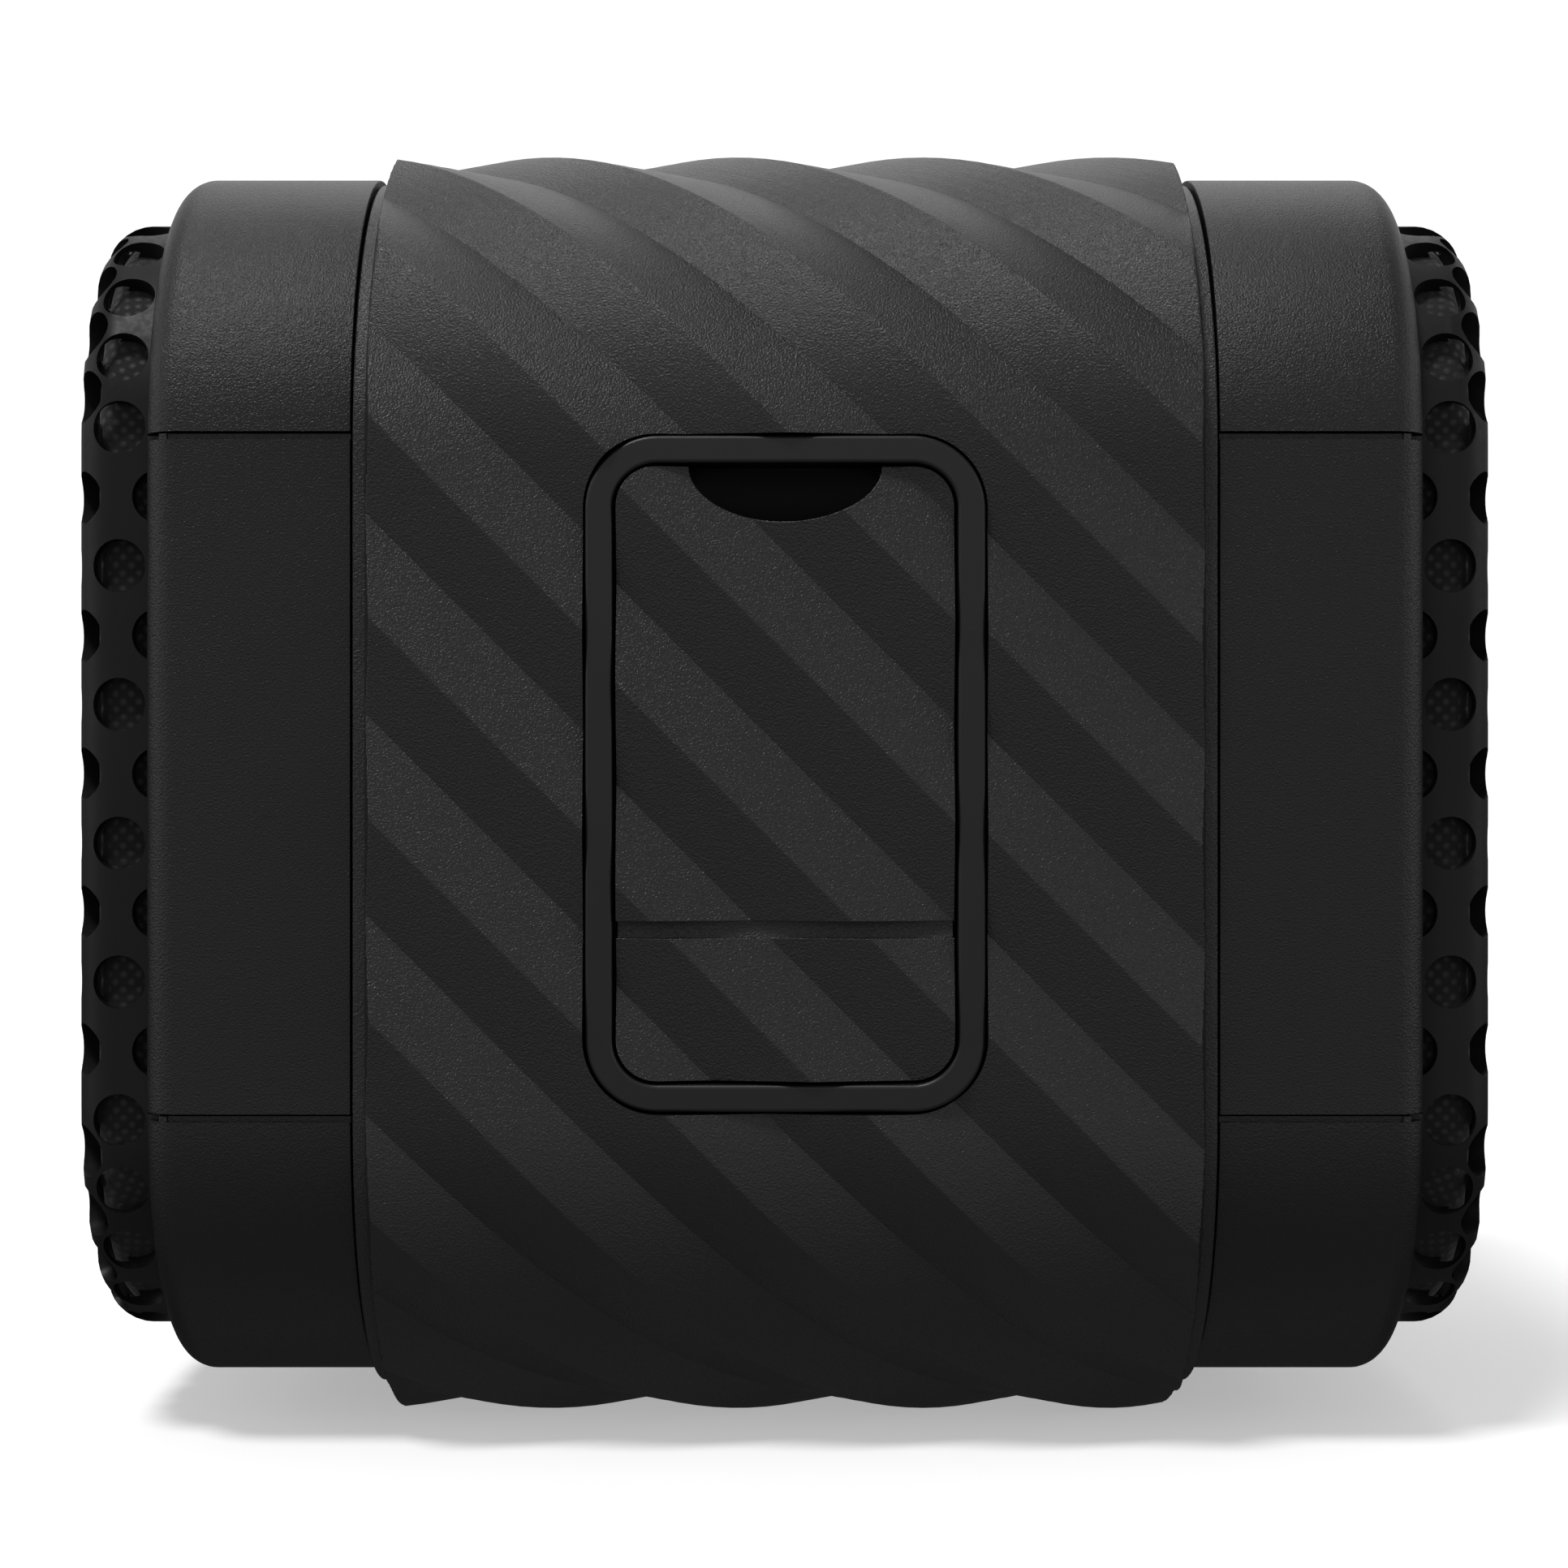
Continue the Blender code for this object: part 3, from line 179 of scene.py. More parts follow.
class Graph:
    """Adds shader nodes to one node tree."""

    def __init__(self, tree):
        self.nodes = tree.nodes
        self.links = tree.links

    def feed(self, socket, value):
        """Sets an input to a plain value, or links it to another node's output."""
        if isinstance(value, bpy.types.NodeSocket):
            self.links.new(value, socket)
        else:
            socket.default_value = value

    def fill(self, node, **inputs):
        """Feeds inputs by their names, where an underscore stands for a space."""
        for name, value in inputs.items():
            self.feed(node.inputs[name.replace("_", " ")], value)

    def add(self, kind, **inputs):
        node = self.nodes.new(f"ShaderNode{kind}")
        self.fill(node, **inputs)
        return node

    def noise(self, coordinates, size, detail=2.0, roughness=0.5):
        """Noise whose features measure about size metres."""
        made = self.add("TexNoise", Vector=coordinates, Scale=1.0 / size, Detail=detail, Roughness=roughness)
        return made.outputs["Fac"]

    def spread(self, value, low, high, start=NOISE_RANGE[0], stop=NOISE_RANGE[1]):
        """Carries the values from start to stop over to the range from low to high."""
        made = self.add("MapRange", Value=value, From_Min=start, From_Max=stop, To_Min=low, To_Max=high)
        return made.outputs["Result"]

    def compute(self, operation, *values):
        node = self.add("Math")
        node.operation = operation
        for socket, value in zip(node.inputs, values):
            self.feed(socket, value)
        return node.outputs[0]

    def ramp(self, value, stops):
        """A colour for each value, from (place, colour) stops."""
        made = self.add("ValToRGB", Fac=value)
        elements = made.color_ramp.elements
        for place, _ in stops[1:-1]:
            elements.new(place)
        for element, (place, color) in zip(elements, stops):
            element.position = place
            element.color = (*color, 1.0)
        return made.outputs["Color"]

    def two_tone(self, value, dark, light):
        return self.ramp(value, list(zip(NOISE_RANGE, (dark, light))))


class Finish(Graph):
    """A node material in the making, round its Principled shader."""

    def __init__(self, name):
        self.material = bpy.data.materials.new(name)
        self.material.use_nodes = True
        super().__init__(self.material.node_tree)
        self.shader = self.nodes["Principled BSDF"]

    def place(self, stretch=None):
        """Object coordinates, drawn out along an axis where stretch is given."""
        place = self.add("TexCoord").outputs["Object"]
        return self.add("Mapping", Vector=place, Scale=stretch).outputs["Vector"] if stretch else place

    def done(self, color, roughness, height, distance, strength, **plain):
        """Feeds the shader its colour, roughness and bump, and plain values for other inputs."""
        normal = self.add("Bump", Height=height, Distance=distance, Strength=strength).outputs["Normal"]
        self.fill(self.shader, Base_Color=color, Roughness=roughness, Normal=normal, **plain)
        return self.material


def moulded(name, tone, roughness, grain=0.15 * MM, depth=0.02 * MM, strength=0.5, fleck=0.25, gloss=0.3):
    """Moulded plastic or rubber: an even dark tone, spark-eroded grain, and faint handling marks."""
    finish = Finish(name)
    place = finish.place()
    fine = finish.noise(place, grain, 2.0, 0.6)
    broad = finish.noise(place, 18 * MM, 3.0, 0.55)
    grained = finish.compute("MULTIPLY", fine, 1 - MARK_SHARE)
    mixed = finish.compute("MULTIPLY_ADD", broad, MARK_SHARE, grained)
    color = finish.two_tone(mixed, (tone * (1 - fleck),) * 3, (tone * (1 + fleck),) * 3)
    rough = finish.spread(mixed, roughness - 0.06, roughness + 0.06)
    return finish.done(color, rough, fine, depth, strength, Specular_IOR_Level=gloss)


def metal(name, tone, roughness, grain=0.3 * MM, metallic=1.0, brushed=None):
    """Metal with a fine surface texture, drawn out along one axis where it is brushed or turned."""
    finish = Finish(name)
    fine = finish.noise(finish.place(brushed), grain, 3.0, 0.6)
    color = finish.two_tone(fine, [0.82 * c for c in tone], [min(1.0, 1.12 * c) for c in tone])
    rough = finish.spread(fine, roughness - 0.07, roughness + 0.09)
    return finish.done(color, rough, fine, 0.01 * MM, 0.3, Metallic=metallic)


def painted_grille():
    """Satin black powder paint over pressed steel, with a faint orange peel."""
    finish = Finish("Grille_Paint")
    place = finish.place()
    peel = finish.noise(place, 0.5 * MM)
    color = finish.two_tone(finish.noise(place, 14 * MM), (0.007, 0.007, 0.0075), (0.011, 0.011, 0.0115))
    rough = finish.spread(peel, 0.40, 0.50)
    return finish.done(color, rough, peel, 0.012 * MM, 0.25, Specular_IOR_Level=0.22)


def speaker_cloth():
    """Black knitted acoustic cloth: threads crossing on the slant, with a raised knot where they meet."""
    finish = Finish("Speaker_Cloth")
    flat = finish.add("UVMap")
    flat.uv_map = "Flat"
    slant = (0.0, 0.0, math.radians(45))
    knots_per_metre = (1 / KNOT_SPACING, 1 / KNOT_SPACING, 1.0)
    turned = finish.add("Mapping", Vector=flat.outputs["UV"], Rotation=slant, Scale=knots_per_metre)

    def cells(scale, randomness):
        made = finish.add("TexVoronoi")
        made.voronoi_dimensions = "2D"
        finish.fill(made, Vector=turned.outputs["Vector"], Scale=scale, Randomness=randomness)
        return made.outputs["Distance"]

    knots = finish.spread(cells(1.0, 0.08), 1.0, 0.0, 0.12, 0.42)
    raised = finish.compute("MULTIPLY_ADD", cells(4.0, 0.5), 0.25, knots)
    color = finish.two_tone(raised, (0.010,) * 3, (0.017,) * 3)
    rough = finish.spread(knots, 0.9, 0.6, 0.0, 1.0)
    return finish.done(color, rough, raised, 0.08 * MM, 0.7, Sheen_Weight=0.1)


def circuit_board():
    """Green solder mask with fine tracks under it."""
    finish = Finish("Circuit_Board")
    place = finish.place()
    tracks = finish.add("TexBrick", Vector=place, Scale=260.0, Color1=(0.008, 0.085, 0.028, 1.0),
                        Color2=(0.010, 0.105, 0.034, 1.0), Mortar=(0.020, 0.190, 0.060, 1.0))
    rough = finish.spread(finish.noise(place, 1.0 * MM), 0.28, 0.42)
    return finish.done(tracks.outputs["Color"], rough, tracks.outputs["Fac"], 0.02 * MM, 0.4)


def battery_wrap():
    """Blue shrink wrap, faintly wrinkled along the cell."""
    finish = Finish("Battery_Wrap")
    folds = finish.noise(finish.place((1.0, 1.0, 0.15)), 2.2 * MM, 3.0)
    color = finish.two_tone(folds, (0.022, 0.065, 0.19), (0.035, 0.095, 0.25))
    return finish.done(color, finish.spread(folds, 0.25, 0.42), folds, 0.05 * MM, 0.4)


def clear_plastic():
    """Frosted clear acrylic of the light pipe."""
    finish = Finish("Light_Pipe")
    frost = finish.noise(finish.place(), 0.2 * MM)
    color = finish.two_tone(frost, (0.50, 0.55, 0.60), (0.68, 0.73, 0.78))
    rough = finish.spread(frost, 0.25, 0.45)
    return finish.done(color, rough, frost, 0.01 * MM, 0.3, Transmission_Weight=0.5)


def pulp_cone():
    """Pressed paper cone: pale fibres in black pulp."""
    finish = Finish("Cone_Paper")
    fibres = finish.noise(finish.place(), 0.9 * MM, 6.0, 0.7)
    color = finish.two_tone(fibres, (0.012, 0.012, 0.012), (0.040, 0.038, 0.035))
    return finish.done(color, finish.spread(fibres, 0.75, 0.95), fibres, 0.06 * MM, 0.6)


def pale_floor():
    """Matt white paper that glows a little, so that it runs into the white round it."""
    finish = Finish("Pale_Floor")
    color = finish.two_tone(finish.noise(finish.place(), 300 * MM), (0.86,) * 3, (0.88,) * 3)
    finish.fill(finish.shader, Base_Color=color, Roughness=0.9, Specular_IOR_Level=0.1,
                Emission_Color=(1.0, 1.0, 1.0, 1.0), Emission_Strength=0.40)
    return finish.material


FINISHES = {
    "housing": moulded("Housing_Plastic", 0.009, 0.33, depth=0.08 * MM, strength=1.0, fleck=0.15, gloss=0.43),
    "sleeve": moulded("Sleeve_Rubber", 0.0115, 0.33, depth=0.09 * MM, strength=1.0, fleck=0.15, gloss=0.57),
    "frame": moulded("Frame_Plastic", 0.008, 0.40, grain=0.10 * MM, depth=0.01 * MM, fleck=0.1, gloss=0.5),
    "chassis": moulded("Chassis_Plastic", 0.030, 0.62, grain=0.25 * MM),
    # Port panel plastic: darker and duller than the frame plastic that shares its slot, as painted shade for
    # the recess behind the door.
    "shaded_recess": moulded("Recess_Plastic_Painted_Shade", 0.005, 0.60, grain=0.16 * MM, depth=0.02 * MM, gloss=0.12),
    "gasket": moulded("Gasket_Rubber", 0.015, 0.75, grain=0.2 * MM),
    "button": moulded("Button_Rubber", 0.030, 0.58, grain=0.12 * MM, depth=0.015 * MM),
    "mark": moulded("Button_Mark", 0.20, 0.55, grain=0.12 * MM, depth=0.01 * MM, fleck=0.1),
    "jack": moulded("Jack_Plastic", 0.010, 0.30, grain=0.3 * MM, depth=0.004 * MM, strength=0.2),
    "steel": metal("Plated_Steel", (0.55, 0.55, 0.56), 0.28, brushed=(1.0, 0.08, 1.0)),
    "contact": metal("Gold_Contact", (0.72, 0.50, 0.18), 0.22),
    "magnet": metal("Magnet_Ferrite", (0.05, 0.05, 0.055), 0.5, grain=0.4 * MM, metallic=0.4),
    "grille": painted_grille(),
    "cloth": speaker_cloth(),
    "board": circuit_board(),
    "battery": battery_wrap(),
    "clear": clear_plastic(),
    "cone": pulp_cone(),
}


# --- Mesh helpers ---


def link_mesh(name, bm, finish=None):
    bmesh.ops.recalc_face_normals(bm, faces=bm.faces)
    mesh = bpy.data.meshes.new(name)
    bm.to_mesh(mesh)
    bm.free()
    obj = bpy.data.objects.new(name, mesh)
    if finish:
        mesh.materials.append(FINISHES[finish])
    bpy.context.scene.collection.objects.link(obj)
    return obj


def smooth(obj, angle=32.0):
    obj.data.shade_smooth()
    obj.data.set_sharp_from_angle(angle=math.radians(angle))


def combine(obj, tool, operation="DIFFERENCE", solver="EXACT"):
    """Cuts or joins obj with a bmesh tool, and keeps the result as obj's own mesh."""
    helper = link_mesh("tool", tool)
    change = obj.modifiers.new("change", "BOOLEAN")
    change.operation = operation
    change.solver = solver
    change.object = helper
    evaluated = obj.evaluated_get(bpy.context.evaluated_depsgraph_get())
    mesh = bpy.data.meshes.new_from_object(evaluated)
    obj.modifiers.clear()
    obj.data = mesh
    bpy.data.objects.remove(helper)


def seat(obj, body, slot, *replaced):
    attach(obj, body)
    if replaced:
        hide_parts(*replaced)


def finished(name, bm, finish, angle, body, slot, *replaced):
    """Makes a smooth-shaded piece, and ties it to its body and CAD nodes."""
    obj = link_mesh(name, bm, finish)
    smooth(obj, angle)
    seat(obj, body, slot, *replaced)


def middle(node):
    """(x, z) of a node's middle."""
    low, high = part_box(node)
    return (low.x + high.x) / 2, (low.z + high.z) / 2


def section(flat, start=0.0, stop=360.0, per_quarter=30):
    """(core, normal) pairs round a rounded square. A point at half-size h is core + (h - flat) * normal."""
    path = []
    for quarter in range(math.floor(start / 90), math.ceil(stop / 90)):
        side = ((1, 1), (-1, 1), (-1, -1), (1, -1))[quarter % 4]
        low = max(start, quarter * 90.0)
        high = min(stop, quarter * 90.0 + 90.0)
        steps = max(1, round(per_quarter * (high - low) / 90))
        for i in range(steps + 1):
            angle = math.radians(low + (high - low) * i / steps)
            normal = Vector((math.cos(angle), math.sin(angle)))
            path.append((Vector((side[0] * flat, side[1] * flat)), normal))
    return path


def place_on(distance, flat, radius):
    """(core, normal) at a distance along a rounded square, downwards from the middle of the port side."""
    quarter_length = 2 * flat + math.pi / 2 * radius
    quarter, along = divmod(distance + flat, quarter_length)
    core = Vector((-flat, flat - min(along, 2 * flat)))
    angle = max(0.0, along - 2 * flat) / radius
    normal = Vector((-math.cos(angle), -math.sin(angle)))
    for _ in range(int(quarter) % 4):
        core = Vector((-core.y, core.x))
        normal = Vector((-normal.y, normal.x))
    return core, normal


def section_point(core, normal, half, flat, x, centre_z):
    """(x, y, z) of the point of a section's side at a core and a normal."""
    reach = half - flat
    return (x, core.x + reach * normal.x, centre_z + core.y + reach * normal.y)


def grid_body(rings, cap=True):
    """Skins a list of rings of points, and caps the first and the last."""
    bm = bmesh.new()
    rows = [[bm.verts.new(point) for point in ring] for ring in rings]
    for first, second in zip(rows, rows[1:]):
        for i in range(len(first)):
            k = (i + 1) % len(first)
            bm.faces.new((first[i], first[k], second[k], second[i]))
    if cap:
        bm.faces.new(rows[0])
        bm.faces.new(rows[-1])
    return bm


def outline(x0, x1, z0, z1, radii, steps=10):
    """(x, z) points of a rectangle. radii are of the corners (x1 z1), (x0 z1), (x0 z0) and (x1 z0)."""
    points = []
    corners = ((x1, z1, -1, -1, 0), (x0, z1, 1, -1, 90), (x0, z0, 1, 1, 180), (x1, z0, -1, 1, 270))
    for (x, z, inward_x, inward_z, start), radius in zip(corners, radii):
        if radius == 0.0:
            points.append((x, z))
            continue
        for i in range(steps + 1):
            angle = math.radians(start + 90.0 * i / steps)
            centre_x = x + inward_x * radius
            centre_z = z + inward_z * radius
            points.append((centre_x + radius * math.cos(angle), centre_z + radius * math.sin(angle)))
    return points


def centred(width, height, radius, x=0.0, z=CENTRE_Z, steps=10):
    """(x, z) points of a rounded rectangle round (x, z), with its radius kept within its size."""
    radius = max(0.02 * MM, min(radius, width / 2 - 0.01 * MM, height / 2 - 0.01 * MM))
    return outline(x - width / 2, x + width / 2, z - height / 2, z + height / 2, [radius] * 4, steps)


def stepped(width, height, radius, profile, x=0.0, z=CENTRE_Z, steps=10):
    """Layers of a rounded rectangle, drawn in by each (inset, y) of its profile."""
    layers = []
    for inset, y in profile:
        points = centred(width - 2 * inset, height - 2 * inset, radius - inset, x, z, steps)
        layers.append((points, y))
    return layers


def ellipse(half_width, half_height, x, z, steps=48):
    angles = [2 * math.pi * i / steps for i in range(steps)]
    return [(x + half_width * math.cos(a), z + half_height * math.sin(a)) for a in angles]


def circles(rounds, x, z, steps=48):
    """Layers of circles, from (radius, y) pairs."""
    return [(ellipse(radius, radius, x, z, steps), y) for radius, y in rounds]


def layered(layers, ring=False):
    """A body of stacked (x, z) outlines along Y. As a ring, the last layer joins back to the first."""
    rings = [[(x, y, z) for x, z in points] for points, y in layers]
    if ring:
        rings.append(rings[0])
        bm = grid_body(rings, cap=False)
        bmesh.ops.remove_doubles(bm, verts=bm.verts, dist=1e-7)
        return bm
    return grid_body(rings)


def merged(*parts):
    """One bmesh that holds several."""
    whole = bmesh.new()
    for part in parts:
        mesh = bpy.data.meshes.new("part")
        part.to_mesh(mesh)
        part.free()
        whole.from_mesh(mesh)
        bpy.data.meshes.remove(mesh)
    return whole


def rod(points, radius, steps=28):
    """A straight round bar between two points, as a bmesh."""
    start, end = (Vector(p) for p in points)
    along = (end - start).normalized()
    across = along.orthogonal().normalized()
    other = along.cross(across)
    rings = []
    for end_point in (start, end):
        ring = []
        for i in range(steps):
            angle = 2 * math.pi * i / steps
            ring.append(end_point + radius * (math.cos(angle) * across + math.sin(angle) * other))
        rings.append(ring)
    return grid_body(rings)


# --- Sleeve ---


def ridge_radius():
    return CREST_Y - RIDGE_DEPTH / 2 - FLAT_HALF


def ridge_pitch():
    return (8 * FLAT_HALF + 2 * math.pi * ridge_radius()) / RIDGE_COUNT


def ridge_rows():
    """(share of the pitch, drop below the crest) across one ridge: flat flanks and a rounded crest."""
    shares = [-share for share in RIDGE_SHARES[-2:0:-1]] + list(RIDGE_SHARES)
    full = math.hypot(1.0, CREST_ROUNDING) - CREST_ROUNDING
    rows = []
    for share in shares:
        rise = math.hypot(2 * share, CREST_ROUNDING) - CREST_ROUNDING
        rows.append((share, RIDGE_DEPTH * rise / full))
    return rows


def sleeve_half(drop, x):
    """Half-size at a drop below the crests. Near its ends the sleeve steps down to a narrow flat rim."""
    rim = HOUSING_HALF + RIM_RISE
    start = SLEEVE_END - RIM_WIDTH - RUN_OUT
    share = max(0.0, abs(x) - start) / RUN_OUT
    fall = (CREST_Y - rim) * share ** RUN_OUT_CURVE
    return max(rim, min(CREST_Y - drop, CREST_Y - fall))


def round_section(half, x):
    """A whole ring of the housing's section at one x."""
    return [section_point(core, normal, half, FLAT_HALF, x, CENTRE_Z) for core, normal in section(FLAT_HALF)]


def build_sleeve():
    start = SLEEVE_END - RIM_WIDTH - RUN_OUT
    columns = [start * (2 * i / SLEEVE_COLUMNS - 1) for i in range(SLEEVE_COLUMNS + 1)]
    ends = [start + RUN_OUT * share for share in RUN_OUT_SHARES]
    ends += [start + RUN_OUT + RIM_WIDTH * share for share in RIM_SHARES]
    columns = [-x for x in reversed(ends)] + columns + ends
    pitch = ridge_pitch()
    rows = ridge_rows()
    rings = []
    for x in columns:
        ring = []
        for ridge in range(RIDGE_COUNT):
            for share, drop in rows:
                distance = CREST_PHASE + x + (ridge + share) * pitch
                core, normal = place_on(distance, FLAT_HALF, ridge_radius())
                half = sleeve_half(drop, x)
                if abs(x) > SLEEVE_END - EDGE_ROUND / 2:
                    half -= EDGE_ROUND
                ring.append(section_point(core, normal, half, FLAT_HALF, x, SLEEVE_Z))
        rings.append(ring)
    sleeve = link_mesh("Ridged_Sleeve", grid_body(rings), "sleeve")
    bore = [round_section(HOUSING_HALF - HOUSING_WALL, x) for x in (-2 * SLEEVE_END, 2 * SLEEVE_END)]
    combine(sleeve, grid_body(bore))
    width = FRAME_HIGH.x - FRAME_LOW.x + 2 * GAP
    height = FRAME_HIGH.z - FRAME_LOW.z + 2 * GAP
    for side in (-1, 1):
        window = centred(width, height, FRAME_RADIUS + GAP, steps=16)
        combine(sleeve, layered(((window, side * HOUSING_HALF / 2), (window, side * HOUSING_HALF * 1.5))))
    smooth(sleeve, 12.0)
    seat(sleeve, "housing", "sleeve_rubber", "center_sleeve")


# --- Housing shells ---


def shell_profile():
    """(x, half-size) points of the outer skin from the sleeve to the grille, with its edges eased."""
    start = SLEEVE_END + SEEN_GAP
    points = [(start, HOUSING_HALF - EDGE_ROUND), (start + EDGE_ROUND / 2, HOUSING_HALF - EDGE_ROUND / 4),
              (start + 2 * EDGE_ROUND, HOUSING_HALF)]
    fillet_x = HOUSING_END - HOUSING_FILLET
    for i in range(13):
        angle = math.radians(90.0 * i / 12)
        x = fillet_x + HOUSING_FILLET * math.sin(angle)
        points.append((x, HOUSING_HALF - HOUSING_FILLET * (1 - math.cos(angle))))
    for x in (RIB_START, RIB_START + EDGE_ROUND, NOTCH_START, NOTCH_START + EDGE_ROUND):
        share = min(1.0, max(0.0, x - fillet_x) / HOUSING_FILLET)
        points.append((x, HOUSING_HALF - HOUSING_FILLET * (1 - math.sqrt(1 - share * share))))
    return sorted(points)


def groove_depth(x):
    """Depth of the rebate under a seam: shallow up to a rib near the fillet, then a deep notch."""
    if x <= RIB_START:
        return SEAM_DEPTH
    if x < NOTCH_START + EDGE_ROUND:
        return 0.0
    return SEAM_NOTCH_DEPTH


def seam_angle(height):
    """Degrees round the housing's corner, at a height above its middle."""
    return math.degrees(math.asin((height - FLAT_HALF) / (HOUSING_HALF - FLAT_HALF)))


def shell_stations(first, last, grooves):
    """(core, normal, sunk) round one shell. Beside a grooved edge it is sunk, as wide as the seam's band."""
    band = math.degrees(SEAM_BAND / (HOUSING_HALF - FLAT_HALF))
    path = section(FLAT_HALF, first, last)
    stations = [(core, normal, False) for core, normal in path]
    for where in grooves:
        at_start = where == "start"
        core, edge_normal = path[0] if at_start else path[-1]
        angle = math.radians(first + band if at_start else last - band)
        normal = Vector((math.cos(angle), math.sin(angle)))
        turn = 1 if at_start else -1
        beyond = []
        for station in stations:
            ahead = turn * (math.atan2(station[1].y, station[1].x) - angle)
            if station[0] != core or ahead % (2 * math.pi) < math.pi:
                beyond.append(station)
        groove = [(core, edge_normal, True), (core, normal, True), (core, normal, False)]
        stations = groove + beyond if at_start else beyond + groove[::-1]
    return stations


def build_shells():
    outer = shell_profile()
    inner_half = HOUSING_HALF - HOUSING_WALL
    lip_half = GRILLE_HALF + SEEN_GAP
    back = ((HOUSING_END, lip_half), (HOUSING_END - LIP_THICKNESS, lip_half),
            (HOUSING_END - LIP_THICKNESS, inner_half), (SLEEVE_END + SEEN_GAP, inner_half))
    upper_edge = seam_angle(SEAM_HEIGHT + SEAM_LINE / 2)
    panel_top = seam_angle(SEAM_HEIGHT - SEAM_LINE / 2)
    panel_foot = -seam_angle(SEAM_HEIGHT - SEAM_LINE / 2)
    lower_edge = -seam_angle(SEAM_HEIGHT + SEAM_LINE / 2)
    shells = (
        ("top_shell", "Top_Shell", upper_edge, 180 - upper_edge, ()),
        ("back_panel", "Back_Panel", 180 - panel_top, 180 - panel_foot, ("start",)),
        ("bottom_shell", "Bottom_Shell", 180 - lower_edge, 360 + lower_edge, ("start", "stop")),
        ("front_panel", "Front_Panel", panel_foot, panel_top, ("stop",)),
    )
    for end, side in ENDS:
        for node, name, first, last, grooves in shells:
            rings = []
            for core, normal, sunk in shell_stations(first, last, grooves):
                skin = [(x, min(half, HOUSING_HALF - groove_depth(x)) if sunk else half) for x, half in outer]
                rings.append([section_point(core, normal, half, FLAT_HALF, side * x, CENTRE_Z)
                              for x, half in (*skin, *back)])
            finished(f"{end.title()}_{name}", grid_body(rings), "housing", 25.0,
                     "housing", "housing_plastic", f"{end}_{node}")


# --- Grilles and cloth ---


def cap_profile(base, end, half, fillet, steps):
    """(x, half-size) points of a cap's skin from its open edge to its end face."""
    points = [(base + (end - fillet - base) * i / 3, half) for i in range(3)]
    for i in range(steps + 1):
        angle = math.radians(90.0 * i / steps)
        points.append((end - fillet + fillet * math.sin(angle), half - fillet + fillet * math.cos(angle)))
    return points


def grille_place(distance):
    return place_on(distance, GRILLE_FLAT, GRILLE_HALF - GRILLE_FLAT)


def side_bar(distance, x, side):
    """A bar through the grille's side wall."""
    core, normal = grille_place(distance)
    ends = [section_point(core, normal, GRILLE_HALF + d, GRILLE_FLAT, side * x, CENTRE_Z)
            for d in (-GRILLE_SHEET * 1.5, CUT_REACH)]
    return rod(ends, HOLE_RADIUS)


def edge_bar(distance, side):
    """A bar through the rounded edge, square to its surface, and the hole's (y, z)."""
    core, normal = grille_place(distance)
    angle = math.radians(EDGE_HOLE_ANGLE)
    ends = []
    for reach in (GRILLE_FILLET - GRILLE_SHEET * 1.6, GRILLE_FILLET + CUT_REACH):
        x = GRILLE_END - GRILLE_FILLET + reach * math.sin(angle)
        half = GRILLE_HALF - GRILLE_FILLET + reach * math.cos(angle)
        ends.append(section_point(core, normal, half, GRILLE_FLAT, side * x, CENTRE_Z))
    return rod(ends, HOLE_RADIUS), Vector(ends[1][1:])


def face_places(edge_places):
    """(y, z) of the holes in the end face, clear of the holes in its rounded edge."""
    arc = GRILLE_FILLET * math.pi / 2 - (COLUMN_X + COLUMN_SPACING - (GRILLE_END - GRILLE_FILLET))
    first_column = GRILLE_HALF - GRILLE_FILLET - (COLUMN_SPACING - arc)
    half_columns = int(first_column / COLUMN_SPACING)
    spacing = first_column / half_columns
    places = []
    for column in range(-half_columns, half_columns + 1):
        y = column * spacing
        shift = 0.5 if (half_columns - column) % 2 == 0 else 0.0
        for row in range(-5, 5):
            z = (row + shift) * HOLE_PITCH
            outside = Vector((max(0.0, abs(y) - GRILLE_FLAT), max(0.0, abs(z) - GRILLE_FLAT))).length
            centre = Vector((y, CENTRE_Z + z))
            nearest = min((centre - place).length for place in edge_places)
            in_face = GRILLE_FLAT + outside <= GRILLE_HALF - GRILLE_FILLET - FACE_MARGIN
            if in_face and nearest >= EDGE_HOLE_CLEARANCE:
                places.append((y, centre.y))
    return places


def grille_cutters(side):
    """Three sets of bars, so that no two bars of one set meet."""
    quarter_length = 2 * GRILLE_FLAT + math.pi / 2 * (GRILLE_HALF - GRILLE_FLAT)
    corner_pitch = (quarter_length - 5 * HOLE_PITCH) / (CORNER_HOLES + 1)
    outer_bars, inner_bars, edge_bars = [], [], []
    for quarter in range(4):
        start = quarter * quarter_length
        corner = start + 2.5 * HOLE_PITCH
        outer = [start + k * HOLE_PITCH for k in (-2.5, -1.5, -0.5, 0.5, 1.5, 2.5)]
        outer += [corner + k * corner_pitch for k in range(1, CORNER_HOLES + 1)]
        inner = [start + k * HOLE_PITCH for k in (-2, -1, 0, 1, 2)]
        edge = [corner + (k + 0.5) * corner_pitch for k in range(CORNER_HOLES + 1)] + inner
        outer_bars += [side_bar(distance, COLUMN_X, side) for distance in outer]
        inner_bars += [side_bar(distance, COLUMN_X - COLUMN_SPACING, side) for distance in inner]
        edge_bars += [edge_bar(distance, side) for distance in edge]
    for y, z in face_places([place for _, place in edge_bars]):
        ends = [(side * x, y, z) for x in (GRILLE_END - 1.6 * GRILLE_SHEET, GRILLE_END + 1.0 * MM)]
        inner_bars.append(rod(ends, HOLE_RADIUS))
    return outer_bars, inner_bars, [bar for bar, _ in edge_bars]


